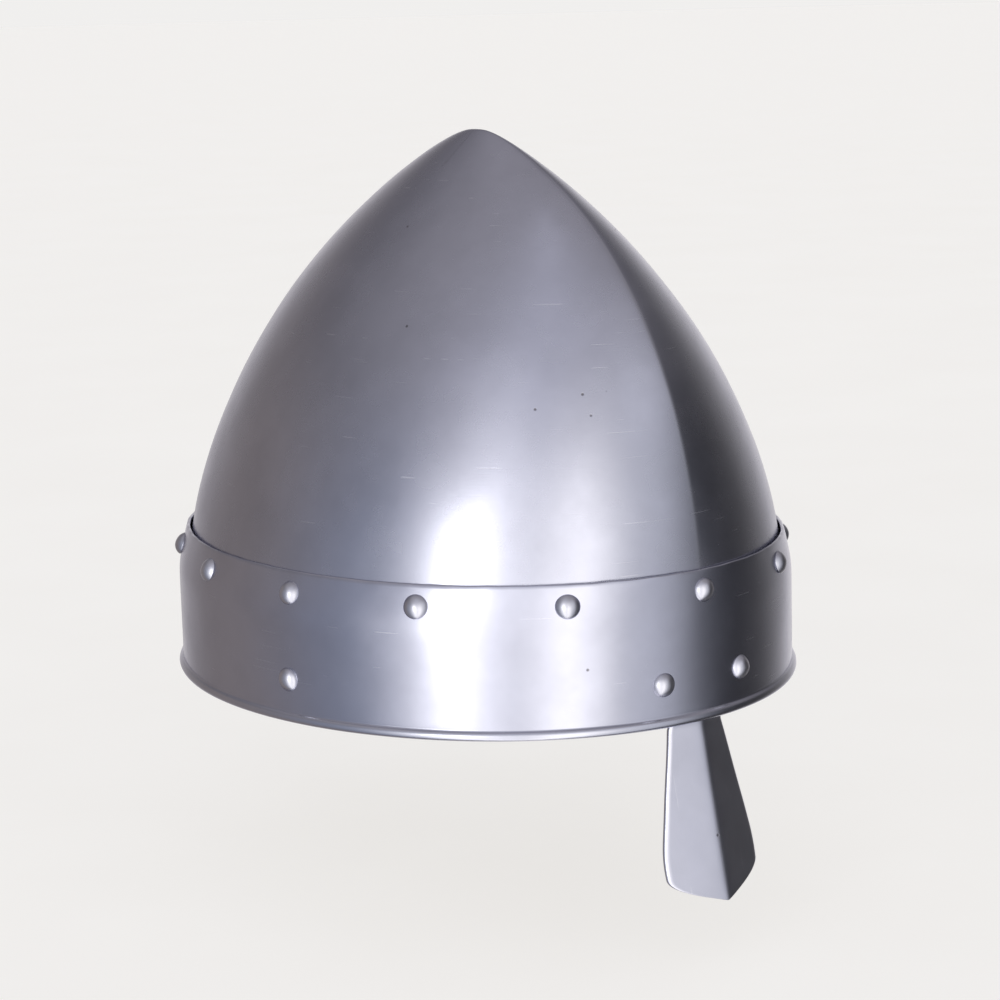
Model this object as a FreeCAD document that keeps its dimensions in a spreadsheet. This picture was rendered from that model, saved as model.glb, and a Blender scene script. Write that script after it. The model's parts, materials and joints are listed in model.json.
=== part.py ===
"""Norman nasal helmet: a pointed, keeled steel skull in a riveted brow band, with a nasal guard,
a leather liner drawn together by a lace, and a buckled chin strap that swings on two side rivets.

Frame: millimetres, +Z up, the face looks along -Y, the wearer's right is -X. The origin is the centre
of the rim, in the plane that the rolled edge of the brow band stands on.
"""
import FreeCAD, Part

import math
import os

from FreeCAD import Placement, Rotation, Vector

doc = FreeCAD.newDocument("nasal_helmet")

# ---------------------------------------------------------------- driving dimensions
SIZES = {
    # brow band, measured on its outside
    "shell_half_width": 100.0,
    "shell_length_excess": 13.5,
    "band_height": 48.5,
    "band_bend_height": 36.0,
    "band_lean_side": 4.4,
    "band_lean_front": 0.8,
    "band_thickness": 1.2,
    "bead_radius": 1.6,
    "bead_proud": 1.4,
    # skull
    "skull_thickness": 1.2,
    "skull_gap_side": 0.9,
    "skull_gap_front": 0.3,
    "skirt_bottom": 22.0,
    "apex_height": 182.3,
    "dome_root_height": 10.0,
    "width_power": 2.2,
    "width_roundness": 1.02,
    "length_power": 2.66,
    "length_roundness": 0.7,
    "keel_crease": 0.5,
    "crown_shift": 4.0,
    # rivets and their burr washers
    "rivet_count": 14,
    "rivet_row_inset": 6.6,
    "low_row_height": 13.9,
    "rivet_head_radius": 3.9,
    "rivet_head_height": 2.4,
    "rivet_shank_radius": 2.0,
    "rivet_tail_radius": 2.9,
    "rivet_tail_height": 1.1,
    "rivet_hole_clearance": 0.05,
    "washer_radius": 4.5,
    "washer_thickness": 0.8,
    "washer_seat_gap": 0.15,
    # nasal guard
    "nasal_thickness": 1.8,
    "nasal_seat_gap": 0.15,
    "nasal_root_half_width": 27.0,
    "nasal_root_bottom": 4.6,
    "nasal_root_gap": 0.5,
    "nasal_rivet_spacing": 33.0,
    "nasal_neck_half_width": 10.7,
    "nasal_wide_half_width": 19.5,
    "nasal_wide_drop": 43.0,
    "nasal_corner_drop": 51.8,
    "nasal_drop": 57.5,
    "nasal_lean": 12.0,
    "nasal_fold": 16.5,
    # liner
    "liner_clearance": 0.3,
    "headband_bottom": 30.0,
    "headband_top": 46.5,
    "headband_thickness": 2.0,
    "tongue_count": 8,
    "tongue_thickness": 1.8,
    "tongue_seam_gap": 0.2,
    "tongue_crown_height": 128.0,
    "tongue_slot": 3.2,
    "tongue_power": 1.6,
    "tongue_roundness": 0.85,
    "lace_ring_radius": 22.0,
    "lace_radius": 1.4,
    "lace_hole_margin": 3.5,
    # chin strap and buckle
    "strap_width": 16.0,
    "strap_thickness": 2.4,
    "strap_layer_gap": 0.35,
    "strap_tab_inset": 7.8,
    "strap_tab_end": 8.0,
    "strap_tab_round_share": 0.42,
    "strap_rise": 80.5,
    "strap_tail_share": 0.82,
    "strap_hole_count": 5,
    "strap_hole_pitch": 12.0,
    "strap_hole_first": 14.0,
    "strap_hole_radius": 1.6,
    "pivot_clearance": 0.05,
    "buckle_offset": 10.0,
    "buckle_bar_drop": 5.5,
    "buckle_wire_radius": 1.5,
    "buckle_window": 15.0,
    "buckle_side_clearance": 0.6,
    "buckle_bar_clearance": 0.15,
    "prong_radius": 1.1,
    "prong_eye_radius": 2.7,
    "prong_eye_width": 3.2,
    "prong_knee_reach": 4.6,
    "prong_knee_drop": 0.6,
    "prong_tip_reach": 2.4,
    "prong_tip_lift": 0.2,
    "prong_hole_length": 8.0,
    "prong_hole_width": 3.4,
    "prong_hole_reach": 6.6,
    "prong_slot_room": 1.2,
    "prong_slot_far": 7.4,
    "prong_slot_near": 4.4,
    "fold_length": 22.0,
    "fold_share": 0.8,
    "fold_rivet_offset": 13.0,
    "fold_rivet_radius": 1.2,
    "fold_rivet_hole_clearance": 0.05,
    "fold_rivet_head_height": 0.9,
    "keeper_thickness": 1.6,
    "keeper_width": 9.0,
}

dims = doc.addObject("Spreadsheet::Sheet", "dims")
for row, (alias, size) in enumerate(SIZES.items(), start=1):
    dims.set(f"A{row}", alias)
    dims.set(f"B{row}", str(size))
    dims.setAlias(f"B{row}", alias)
doc.recompute()


def size(alias):
    """A driving dimension, read from the sheet."""
    return float(dims.get(alias))


# ---------------------------------------------------------------- small helpers
def add(kind, name, **properties):
    """A document object with the given properties."""
    made = doc.addObject(kind, name)
    made.Label = name
    for key, value in properties.items():
        setattr(made, key, value)
    return made


def feature(name, shape, placement=Placement()):
    """An object whose shape is worked out below from the sheet's sizes."""
    made = add("Part::Feature", name)
    made.Shape = shape
    made.Placement = placement
    return made


# ---------------------------------------------------------------- the band's and the skull's outlines
LEAN = "max(0; (({z}) - dims.band_bend_height) / (dims.band_height - dims.band_bend_height))"
HALF_LENGTH = "(dims.shell_half_width + dims.shell_length_excess)"


def hoop_width(z, inset):
    """Expression: half-width of the band's outside at height z, moved inward by inset."""
    return f"(dims.shell_half_width - dims.band_lean_side * {LEAN.format(z=z)} - ({inset}))"


def hoop_length(z, inset):
    """Expression: half-length of the band's outside at height z, moved inward by inset."""
    return f"({HALF_LENGTH} - dims.band_lean_front * {LEAN.format(z=z)} - ({inset}))"


def ellipse(name, half_width, half_length, z, x="0", y="0"):
    """A horizontal ellipse, its long axis along Y, with every size an expression."""
    ring = add("Part::Ellipse", name)
    ring.Placement = Placement(Vector(0, 0, 0), Rotation(Vector(0, 0, 1), 90))
    ring.setExpression("MajorRadius", half_length)
    ring.setExpression("MinorRadius", half_width)
    ring.setExpression(".Placement.Base.x", x)
    ring.setExpression(".Placement.Base.y", y)
    ring.setExpression(".Placement.Base.z", z)
    return ring


def hoop(name, heights, inset_side, inset_front):
    """A solid plug inside the band's outline, through the given heights."""
    rings = [
        ellipse(f"{name}_{i}", hoop_width(z, inset_side), hoop_length(z, inset_front), z)
        for i, z in enumerate(heights)
    ]
    return add("Part::Loft", name, Sections=rings, Solid=True, Ruled=True)


def lens(name, width, length, z, crease, y="0"):
    """One level of a bowl's left-hand side, which the right-hand side mirrors.

    Each side is part of an ellipse whose centre lies beyond the keel, so the two sides meet at the
    keel in a crease; crease is how far beyond, as a share of the width.
    """
    stretch = f"sqrt(1 - ({crease} / (1 + {crease}))^2)"
    half_width = f"{width} * (1 + {crease})"
    return ellipse(name, half_width, f"{length} / {stretch}", z, x=f"-{width} * {crease}", y=y)


def both_sides(name, outside, inside):
    """The wall between two plugs of lenses: its left-hand side, mirrored and joined at the keel."""
    wall = add("Part::Cut", f"{name}_wall", Base=outside, Tool=inside)
    left = add("Part::Common", f"{name}_left", Base=wall, Tool=left_room)
    right = add("Part::Mirroring", f"{name}_right", Source=left, Normal=Vector(1, 0, 0))
    return add("Part::Fuse", f"{name}_bowl", Base=left, Tool=right)


left_room = add("Part::Box", "left_room")
left_room.setExpression("Length", "dims.shell_half_width * 1.5")
left_room.setExpression("Width", f"{HALF_LENGTH} * 3")
left_room.setExpression("Height", "dims.apex_height * 1.2")
left_room.setExpression(".Placement.Base.y", f"-{HALF_LENGTH} * 1.5")

BAND_HEIGHTS = ["dims.bead_radius", "dims.band_bend_height", "dims.band_height"]
SKULL_SIDE = "dims.band_thickness + dims.skull_gap_side"
SKULL_FRONT = "dims.band_thickness + dims.skull_gap_front"


# ---------------------------------------------------------------- brow band
def make_brow_band():
    """The hoop of sheet, its top leaning in with the skull and its rim rolled outward."""
    outside = hoop("band_outside", BAND_HEIGHTS, "0", "0")
    inside_heights = ["dims.bead_radius - 1", "dims.band_bend_height", "dims.band_height"]
    inside = hoop("band_inside", inside_heights, "dims.band_thickness", "dims.band_thickness")
    sheet = add("Part::Cut", "band_sheet", Base=outside, Tool=inside)

    bead_inset = "dims.bead_radius - dims.bead_proud"
    spine = ellipse(
        "bead_spine",
        hoop_width("dims.bead_radius", bead_inset),
        hoop_length("dims.bead_radius", bead_inset),
        "dims.bead_radius",
    )
    wire = add("Part::Circle", "bead_section")
    wire.setExpression("Radius", "dims.bead_radius")
    wire.Placement = Placement(Vector(0, 0, 0), Rotation(Vector(0, 1, 0), 90))
    wire.setExpression(".Placement.Base.y", hoop_length("dims.bead_radius", bead_inset))
    wire.setExpression(".Placement.Base.z", "dims.bead_radius")
    bead = add("Part::Sweep", "rim_bead", Sections=[wire], Solid=True, Frenet=True)
    bead.Spine = (spine, ["Edge1"])
    return add("Part::Fuse", "band_hoop", Base=sheet, Tool=bead)


# ---------------------------------------------------------------- skull
DOME_SHARES = [0.0, 0.09, 0.19, 0.3, 0.41, 0.52, 0.63, 0.73, 0.82, 0.89, 0.94, 0.975, 0.993]


def rise_share(z, apex):
    """Expression: how far z is up the dome's curve, from its root to the apex."""
    return f"(({z} - dims.dome_root_height) / ({apex} - dims.dome_root_height))"


ROOT_CREASE = f"(dims.keel_crease * {rise_share('dims.band_height', 'dims.apex_height')}^2)"


def dome_ring(name, share, wall):
    """One level of the dome, wall millimetres inside its outer face."""
    apex = f"(dims.apex_height - 1.5 * ({wall}))"
    z = f"(dims.band_height + ({apex} - dims.band_height) * {share})"
    t = rise_share(z, apex)
    t0 = rise_share("dims.band_height", apex)
    spread = f"((1 - {t}^dims.width_power) / (1 - {t0}^dims.width_power))^dims.width_roundness"
    reach = f"((1 - {t}^dims.length_power) / (1 - {t0}^dims.length_power))^dims.length_roundness"
    width = f"({hoop_width('dims.band_height', f'{SKULL_SIDE} + {wall}')} * {spread})"
    length = f"({hoop_length('dims.band_height', f'{SKULL_FRONT} + {wall}')} * {reach})"
    crease = f"(dims.keel_crease * {t}^2)"
    return lens(name, width, length, z, crease, y=f"-dims.crown_shift * ({t}^2 - {t0}^2)")


def skirt_plug(name, wall, heights, above=()):
    """The solid inside the skirt, wall millimetres inside its outer face, up to the rings above."""
    rings = []
    for i, z in enumerate(heights):
        width = hoop_width(z, f"{SKULL_SIDE} + {wall}")
        length = hoop_length(z, f"{SKULL_FRONT} + {wall}")
        rings.append(lens(f"{name}_{i}", width, length, z, ROOT_CREASE))
    return add("Part::Loft", name, Sections=rings + list(above), Solid=True, Ruled=True)


def skull_plug(name, wall, bottom):
    """The solid inside one face of the skull: a ruled skirt under a smooth dome."""
    rings = [dome_ring(f"{name}_dome_{i}", share, wall) for i, share in enumerate(DOME_SHARES)]
    dome = add("Part::Loft", f"{name}_dome", Sections=rings, Solid=True, Ruled=False)
    skirt = skirt_plug(f"{name}_skirt", wall, [bottom, "dims.band_bend_height"], rings[:1])
    return add("Part::Fuse", name, Base=dome, Tool=skirt)


def make_skull():
    """Two halves of sheet, welded along the keel."""
    outer = skull_plug("skull_outer", "0", "dims.skirt_bottom")
    inner = skull_plug("skull_inner", "dims.skull_thickness", "dims.skirt_bottom - 1")
    return both_sides("skull", outer, inner)


# ---------------------------------------------------------------- places on the band
def half_sizes(z, inset=0.0):
    """Half-width and half-length of the band's outside at height z, moved inward by inset."""
    lean = max(0.0, (z - size("band_bend_height")) / (size("band_height") - size("band_bend_height")))
    half_length = size("shell_half_width") + size("shell_length_excess")
    return (
        size("shell_half_width") - size("band_lean_side") * lean - inset,
        half_length - size("band_lean_front") * lean - inset,
    )


def band_place(angle, z, inset=0.0):
    """Point and outward direction on the band's outside; angle 0 is the front, + is towards +X."""
    width, length = half_sizes(z, inset)
    point = Vector(width * math.sin(angle), -length * math.cos(angle), z)
    outward = Vector(math.sin(angle) / width, -math.cos(angle) / length, 0)
    outward.normalize()
    if z > size("band_bend_height"):
        run = size("band_height") - size("band_bend_height")
        side = size("band_lean_side") * math.sin(angle) * outward.x
        front = -size("band_lean_front") * math.cos(angle) * outward.y
        outward.z = (side + front) / run
        outward.normalize()
    return point, outward


def angle_at(arc, z):
    """The angle that lies arc millimetres round the band from the front."""
    width, length = half_sizes(z)
    step = math.radians(0.05)
    angle = 0.0
    run = 0.0
    while run < abs(arc):
        middle = angle + step / 2
        run += step * math.hypot(width * math.cos(middle), length * math.sin(middle))
        angle += step
    return math.copysign(angle, arc)


def girth(z):
    """Length once round the band's outside at height z."""
    width, length = half_sizes(z)
    ring = Part.Ellipse(Vector(0, 0, z), length, width)
    return ring.toShape().Length


def outward_placement(point, outward):
    """Places a piece made along +Z so that its +Z points outward."""
    return Placement(point, Rotation(Vector(0, 0, 1), outward))


# ---------------------------------------------------------------- rivets
def rivet(stack, head_direction=Vector(0, 0, 1)):
    """A rivet on Z: domed head above z = 0, shank down through stack and a washer, peened tail."""
    radius = size("rivet_head_radius")
    height = size("rivet_head_height")
    ball = (radius**2 + height**2) / (2 * height)
    head = Part.makeSphere(ball, Vector(0, 0, height - ball))
    block = Part.makeBox(4 * ball, 4 * ball, 4 * ball, Vector(-2 * ball, -2 * ball, -4 * ball))
    head = head.cut(block)
    head.Placement = Placement(Vector(), Rotation(Vector(0, 0, 1), head_direction))
    reach = stack + size("washer_thickness") + size("washer_seat_gap")
    shank = Part.makeCylinder(size("rivet_shank_radius"), reach + 0.6, Vector(0, 0, -reach))
    tail_radius = size("rivet_tail_radius")
    tail_height = size("rivet_tail_height")
    tail = Part.makeCone(tail_radius, tail_radius * 0.55, tail_height, Vector(0, 0, -reach), Vector(0, 0, -1))
    return head.fuse([shank, tail]).removeSplitter()


def hole(reach):
    """The drill that makes a rivet's hole, on Z, from above the head to reach below it."""
    radius = size("rivet_shank_radius") + size("rivet_hole_clearance")
    return Part.makeCylinder(radius, reach + 10, Vector(0, 0, -reach))


def washer():
    """A burr washer on Z, its upper face at z = 0."""
    ring = Part.makeCylinder(size("washer_radius"), size("washer_thickness"), Vector(), Vector(0, 0, -1))
    bore = size("rivet_shank_radius") + size("rivet_hole_clearance")
    return ring.cut(Part.makeCylinder(bore, size("washer_thickness"), Vector(), Vector(0, 0, -1)))


def row(places, stacks, bore_reach):
    """Rivets, washers and hole drills for places given as (point, outward direction)."""
    rivets = []
    washers = []
    drills = []
    for (point, outward), stack in zip(places, stacks):
        seat = outward_placement(point, outward)
        piece = rivet(stack)
        piece.Placement = seat.multiply(piece.Placement)
        rivets.append(piece)
        ring = washer()
        lift = Placement(Vector(0, 0, -stack - size("washer_seat_gap") / 2), Rotation())
        ring.Placement = seat.multiply(lift)
        washers.append(ring)
        drill = hole(bore_reach)
        drill.Placement = seat.multiply(drill.Placement)
        drills.append(drill)
    return rivets, washers, drills


brow_row_height = size("band_height") - size("rivet_row_inset")
brow_pitch = girth(brow_row_height) / size("rivet_count")
brow_angles = [angle_at(brow_pitch * i, brow_row_height) for i in range(int(size("rivet_count")))]
brow_places = [band_place(angle, brow_row_height) for angle in brow_angles]


def inside_liner(point):
    """True where a point is inside the headband's inner face."""
    steel = size("band_thickness") + size("skull_thickness")
    wall = steel + size("liner_clearance") + size("headband_thickness")
    width = half_sizes(point.z, wall + size("skull_gap_side"))[0]
    length = half_sizes(point.z, wall + size("skull_gap_front"))[1]
    rise = (size("band_height") - size("dome_root_height")) / (size("apex_height") - size("dome_root_height"))
    crease = size("keel_crease") * rise**2
    across = (abs(point.x) + width * crease) / (width * (1 + crease))
    along = point.y / length * math.sqrt(1 - (crease / (1 + crease)) ** 2)
    return across**2 + along**2 < 1


def brow_stack(place):
    """Everything between a brow rivet's head and its washer, down to the headband's inner face."""
    point, outward = place
    depth = size("band_thickness")
    while not all(inside_liner(point - outward * depth + side) for side in washer_rim(outward)):
        depth += 0.02
    return depth + size("washer_seat_gap")


def washer_rim(outward):
    """Four points on a washer's rim, from its middle."""
    level = Vector(-outward.y, outward.x, 0)
    level.normalize()
    upright = outward.cross(level)
    radius = size("washer_radius")
    return [level * radius, level * -radius, upright * radius, upright * -radius]


brow_stacks = [brow_stack(place) for place in brow_places]
brow_rivets, brow_washers, brow_drills = row(brow_places, brow_stacks, max(brow_stacks) + 3)

low_z = size("low_row_height")
nasal_angles = [angle_at(side * size("nasal_rivet_spacing") / 2, low_z) for side in (-1, 1)]
nasal_places = [band_place(angle, low_z) for angle in nasal_angles]
nasal_seat = size("nasal_seat_gap") + size("washer_seat_gap")
nasal_stack = size("band_thickness") + size("nasal_thickness") + nasal_seat
nasal_rivets, nasal_washers, nasal_drills = row(nasal_places, [nasal_stack] * 2, nasal_stack + 3)

# The chin strap turns about one line along X, through both strap rivets, which sit under the third
# brow rivet from the front on each side.
strap_angle = angle_at(girth(low_z) * 3 / size("rivet_count"), low_z)
pivot_point, pivot_outward = band_place(strap_angle, low_z)
pivot_y = pivot_point.y
pivot_z = low_z
tab_x = size("shell_half_width") - size("strap_tab_inset")
strap_stack = pivot_point.x - (tab_x - size("strap_thickness") / 2) + size("strap_layer_gap")


def strap_rivet_pieces(side):
    """Rivet, washer and drill on one side: the shank lies along X, the head on the band's slope."""
    along = Placement(
        Vector(side * pivot_point.x, pivot_y, pivot_z), Rotation(Vector(0, 0, 1), Vector(side, 0, 0))
    )
    outward = Vector(side * pivot_outward.x, pivot_outward.y, 0)
    piece = rivet(strap_stack, along.Rotation.inverted().multVec(outward))
    piece.Placement = along.multiply(piece.Placement)
    ring = washer()
    seat = Vector(0, 0, -strap_stack - size("washer_seat_gap") / 2)
    ring.Placement = along.multiply(Placement(seat, Rotation()))
    drill = hole(size("band_thickness") + 3)
    drill.Placement = along.multiply(drill.Placement)
    return piece, ring, drill


strap_sets = [strap_rivet_pieces(side) for side in (-1, 1)]
strap_rivets, strap_washers, strap_drills = (list(pieces) for pieces in zip(*strap_sets))


# ---------------------------------------------------------------- nasal guard
nasal_root_top = size("skirt_bottom") - size("nasal_root_gap")


def chevron(z, ridge_y, fold_degrees, half_width):
    """A folded strip's level outline: ridge forward, both sides swept back."""
    back = half_width * math.tan(math.radians(fold_degrees))
    depth = size("nasal_thickness") / math.cos(math.radians(fold_degrees))
    outer = [Vector(x, ridge_y + back * abs(x) / half_width, z) for x in (-half_width, 0, half_width)]
    inner = [point + Vector(0, depth, 0) for point in reversed(outer)]
    return Part.makePolygon(outer + inner + outer[:1])


def nasal_outline():
    """Front view of the guard below its root: a neck that widens to a blunt, pointed end."""
    neck = size("nasal_neck_half_width")
    wide = size("nasal_wide_half_width")
    drops = [
        (neck, nasal_root_top - 6, 0),
        (neck, 0, 8),
        (wide, -size("nasal_wide_drop"), 8),
        (wide - 0.8, -size("nasal_corner_drop"), 4.5),
    ]
    tip = (0, -size("nasal_drop"), 3)
    corners = drops + [tip] + [(-x, z, radius) for x, z, radius in reversed(drops)]
    reach = 2 * (size("shell_half_width") + size("shell_length_excess"))
    points = [Vector(x, -reach, z) for x, z, radius in corners]
    prism = Part.Face(Part.makePolygon(points + points[:1])).extrude(Vector(0, reach, 0))
    for x, z, radius in corners:
        if radius:
            edges = [e for e in prism.Edges if all(math.hypot(v.X - x, v.Z - z) < 0.01 for v in e.Vertexes)]
            prism = prism.makeFillet(radius, edges)
    return prism


def make_nasal_guard():
    """A root curved to the inside of the band, and a folded, forward-leaning guard below it."""
    seat = size("band_thickness") + size("nasal_seat_gap")
    wall = size("nasal_thickness")
    bottom = size("nasal_root_bottom")
    top = nasal_root_top
    outer_width, outer_length = half_sizes(0, seat)
    rings = []
    for inset in (0, wall):
        ring = Part.Ellipse(Vector(0, 0, bottom), outer_length - inset, outer_width - inset).toShape()
        ring.rotate(Vector(), Vector(0, 0, 1), 90)
        rings.append(Part.Face(Part.Wire(ring)).extrude(Vector(0, 0, top - bottom)))
    half = size("nasal_root_half_width")
    window = Part.makeBox(2 * half, 2 * outer_length, top - bottom, Vector(-half, -2 * outer_length, bottom))
    window = window.makeFillet(5, [e for e in window.Edges if abs(e.Vertexes[0].Y - e.Vertexes[1].Y) > 1])
    root = rings[0].cut(rings[1]).common(window)

    front = -outer_length
    lean = math.tan(math.radians(size("nasal_lean")))
    fold = size("nasal_fold")
    rim_front = front + 1.35
    reach = size("nasal_drop") + 4
    half = size("nasal_wide_half_width") + 4
    levels = [
        chevron(top - 6, front + 0.05, 0.4 * fold, half),
        chevron(bottom, front + 0.5, 0.5 * fold, half),
        chevron(-2, rim_front - 2 * lean, 0.85 * fold, half),
        chevron(-10, rim_front - 10 * lean, fold, half),
        chevron(-reach, rim_front - reach * lean, 1.05 * fold, half),
    ]
    blade = Part.makeLoft(levels, True, True).common(nasal_outline())
    return root.fuse(blade)


# ---------------------------------------------------------------- liner
LINER_WALL = "dims.skull_thickness + dims.liner_clearance"


def make_headband():
    """The leather band inside the skull's skirt."""
    heights = ["dims.headband_bottom", "dims.band_bend_height", "dims.headband_top"]
    outer = skirt_plug("headband_outer", LINER_WALL, heights)
    inner = skirt_plug("headband_inner", f"{LINER_WALL} + dims.headband_thickness", heights)
    return both_sides("headband", outer, inner)


TONGUE_SHARES = [0.0, 0.08, 0.18, 0.3, 0.43, 0.56, 0.68, 0.78, 0.86, 0.915]
TONGUE_ROOT = "(dims.headband_top + dims.tongue_seam_gap)"


def tongue_plug(name, wall):
    """The solid inside one face of the liner's cap, which meets the headband edge to edge."""
    rings = []
    for i, share in enumerate(TONGUE_SHARES):
        z = f"({TONGUE_ROOT} + (dims.tongue_crown_height - {wall} - {TONGUE_ROOT}) * {share})"
        spread = f"(1 - {share}^dims.tongue_power)^dims.tongue_roundness"
        width = f"({hoop_width('dims.band_height', f'{SKULL_SIDE} + {LINER_WALL} + {wall}')} * {spread})"
        length = f"({hoop_length('dims.band_height', f'{SKULL_FRONT} + {LINER_WALL} + {wall}')} * {spread})"
        crease = f"(({ROOT_CREASE} + dims.keel_crease * {rise_share(z, 'dims.apex_height')}^2) / 2)"
        rings.append(lens(f"{name}_{i}", width, length, z, crease))
    return add("Part::Loft", name, Sections=rings, Solid=True, Ruled=False)


def make_tongue_cap():
    """The thin leather cap, open at the crown, before it is slit into tongues."""
    return both_sides("cap", tongue_plug("cap_outer", "0"), tongue_plug("cap_inner", "dims.tongue_thickness"))


def tongue_sector(index):
    """The upright wedge that one tongue fills, short of its neighbours by the slot."""
    count = int(size("tongue_count"))
    half = math.pi / count
    middle = 2 * math.pi * (index + 0.5) / count
    reach = 2 * (size("shell_half_width") + size("shell_length_excess"))
    start = size("tongue_slot") / 2 / math.sin(half)
    points = [Vector(start, 0, 0)]
    for side in (-1, 1):
        points.append(Vector(start + reach * math.cos(half), side * reach * math.sin(half), 0))
    wedge = Part.Face(Part.makePolygon(points + points[:1])).extrude(Vector(0, 0, size("apex_height")))
    turn = Placement(Vector(), Rotation(Vector(0, 0, 1), math.degrees(middle) - 90))
    return feature(f"tongue_wedge_{index + 1}", wedge, turn)


def lace_height(cap):
    """The lowest level at which the lace ring lies clear on top of the tongues."""
    ring_radius = size("lace_ring_radius")
    tops = []
    for degrees in (0, 30, 60, 90):
        x = ring_radius * math.cos(math.radians(degrees))
        y = ring_radius * math.sin(math.radians(degrees))
        probe = Part.makeCylinder(size("lace_radius"), size("apex_height"), Vector(x, y, 0))
        cut = cap.common(probe)
        if cut.Volume > 0:
            tops.append(cut.BoundBox.ZMax)
    return max(tops) + size("lace_radius") + size("liner_clearance")


# ---------------------------------------------------------------- chin strap
# One half of the strap's line, from the pivot to the middle of the arch: shares of the tab's distance
# from the middle plane, and of the arch's rise.
STRAP_SHARES = [
    (1.0, 0.03),
    (0.945, 0.16),
    (0.875, 0.33),
    (0.80, 0.52),
    (0.665, 0.715),
    (0.475, 0.885),
    (0.24, 0.975),
]


def strap_line():
    """The strap's middle line in its own plane, from the right-hand tab over the arch to the left."""
    rise = size("strap_rise")
    right = [Vector(-tab_x * x, 0, rise * up) for x, up in STRAP_SHARES]
    left = [Vector(-point.x, 0, point.z) for point in reversed(right)]
    line = Part.BSplineCurve()
    line.interpolate(
        Points=right + [Vector(0, 0, rise)] + left,
        InitialTangent=Vector(0, 0, 1),
        FinalTangent=Vector(0, 0, -1),
    )
    return line


line = strap_line()
LINE_START = line.FirstParameter
LINE_END = line.LastParameter


def line_at(share, offset):
    """Point at a share of the strap's line, moved outward from the arch by offset."""
    where = LINE_START + (LINE_END - LINE_START) * share
    along = line.tangent(where)[0]
    outward = Vector(-along.z, 0, along.x)
    return line.value(where) + outward * offset


def ribbon(first, last, inner, outer, width):
    """A strip along the strap's line between two shares; inner and outer are offsets, or functions."""
    count = max(6, int(36 * (last - first)))
    shares = [first + (last - first) * i / count for i in range(count + 1)]
    edges = []
    for offset in (inner, outer):
        curve = Part.BSplineCurve()
        curve.interpolate([line_at(share, offset(share)) for share in shares])
        edges.append(curve.toShape())
    ends = []
    for i in (0, -1):
        ends.append(Part.LineSegment(edges[0].Vertexes[i].Point, edges[1].Vertexes[i].Point).toShape())
    outline = Part.Wire(Part.__sortEdges__([edges[0], ends[1], edges[1], ends[0]]))
    strip = Part.Face(outline).extrude(Vector(0, width, 0))
    strip.translate(Vector(0, pivot_y - width / 2, pivot_z))
    return strip


def tab(side):
    """The strap's flat end at a pivot, down to its end and up to where the line starts."""
    half = size("strap_thickness") / 2
    width = size("strap_width")
    end = size("strap_tab_end")
    corner = Vector(side * tab_x - half, pivot_y - width / 2, pivot_z - end)
    box = Part.makeBox(2 * half, width, line_at(0.0, 0.0).z + end, corner)
    rounded = []
    for edge in box.Edges:
        first, last = edge.Vertexes[0], edge.Vertexes[-1]
        if abs(first.X - last.X) > half and first.Z < pivot_z:
            rounded.append(edge)
    return box.makeFillet(width * size("strap_tab_round_share"), rounded)


def pivot_hole():
    """The running hole through both tabs."""
    radius = size("rivet_shank_radius") + size("pivot_clearance")
    span = 2 * size("shell_half_width")
    return Part.makeCylinder(radius, span, Vector(-span / 2, pivot_y, pivot_z), Vector(1, 0, 0))


def share_at(x):
    """The share of the strap's line at which it passes x."""
    low, high = 0.0, 1.0
    for _ in range(40):
        middle = (low + high) / 2
        if line_at(middle, 0.0).x < x:
            low = middle
        else:
            high = middle
    return low


half_strap = size("strap_thickness") / 2
layer = size("strap_thickness") + size("strap_layer_gap")
bar_x = -size("buckle_offset")
bar_share = share_at(bar_x)
bar_z = line_at(bar_share, 0.0).z - size("buckle_bar_drop") + pivot_z
far_x = bar_x - size("buckle_window")
far_share = share_at(far_x)
far_z = line_at(far_share, half_strap).z + pivot_z + size("buckle_wire_radius") + size("strap_layer_gap")
keeper_share = share_at(size("strap_width") * 2.1)


def smooth(share):
    """0 to 1 with level ends."""
    share = min(1.0, max(0.0, share))
    return share * share * (3 - 2 * share)


def short_offset(share):
    """How far the short half lies inside the long half's line: nothing at its own tab."""
    return -layer * smooth((1.0 - share) / (1.0 - size("strap_tail_share") - 0.02))


def prong_points():
    """The prong's middle line: up from the hinge bar through the strap, then over the far bar."""
    rest = size("buckle_wire_radius") + size("prong_radius") + size("strap_layer_gap")
    knee_x = bar_x - size("prong_knee_reach")
    tip_x = far_x - size("prong_tip_reach")
    knee = Vector(knee_x, pivot_y, far_z + rest - size("prong_knee_drop"))
    tip = Vector(tip_x, pivot_y, far_z + rest + size("prong_tip_lift"))
    return [Vector(bar_x, pivot_y, bar_z), knee, tip]


def prong_slot():
    """The room in both halves of the strap for the prong and its lift."""
    width = size("prong_eye_width") + size("prong_slot_room")
    low = bar_x - size("prong_slot_far")
    length = size("prong_slot_far") + size("prong_slot_near")
    through = size("strap_rise") / 4
    return Part.makeBox(length, width, through, Vector(low, pivot_y - width / 2, bar_z - through / 2))


def punched_holes():
    """Adjustment holes in the tail of the long half, clear of the keeper."""
    drills = []
    through = 2 * size("strap_thickness")
    for i in range(int(size("strap_hole_count"))):
        share = share_at(bar_x + size("strap_hole_first") + size("strap_hole_pitch") * i)
        if abs(share - keeper_share) < 0.02:
            continue
        place = line_at(share, 0.0) + Vector(0, pivot_y, pivot_z)
        outward = line_at(share, 1.0) - line_at(share, 0.0)
        start = place - outward * (through / 2)
        drills.append(Part.makeCylinder(size("strap_hole_radius"), through, start, outward))
    return drills


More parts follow.
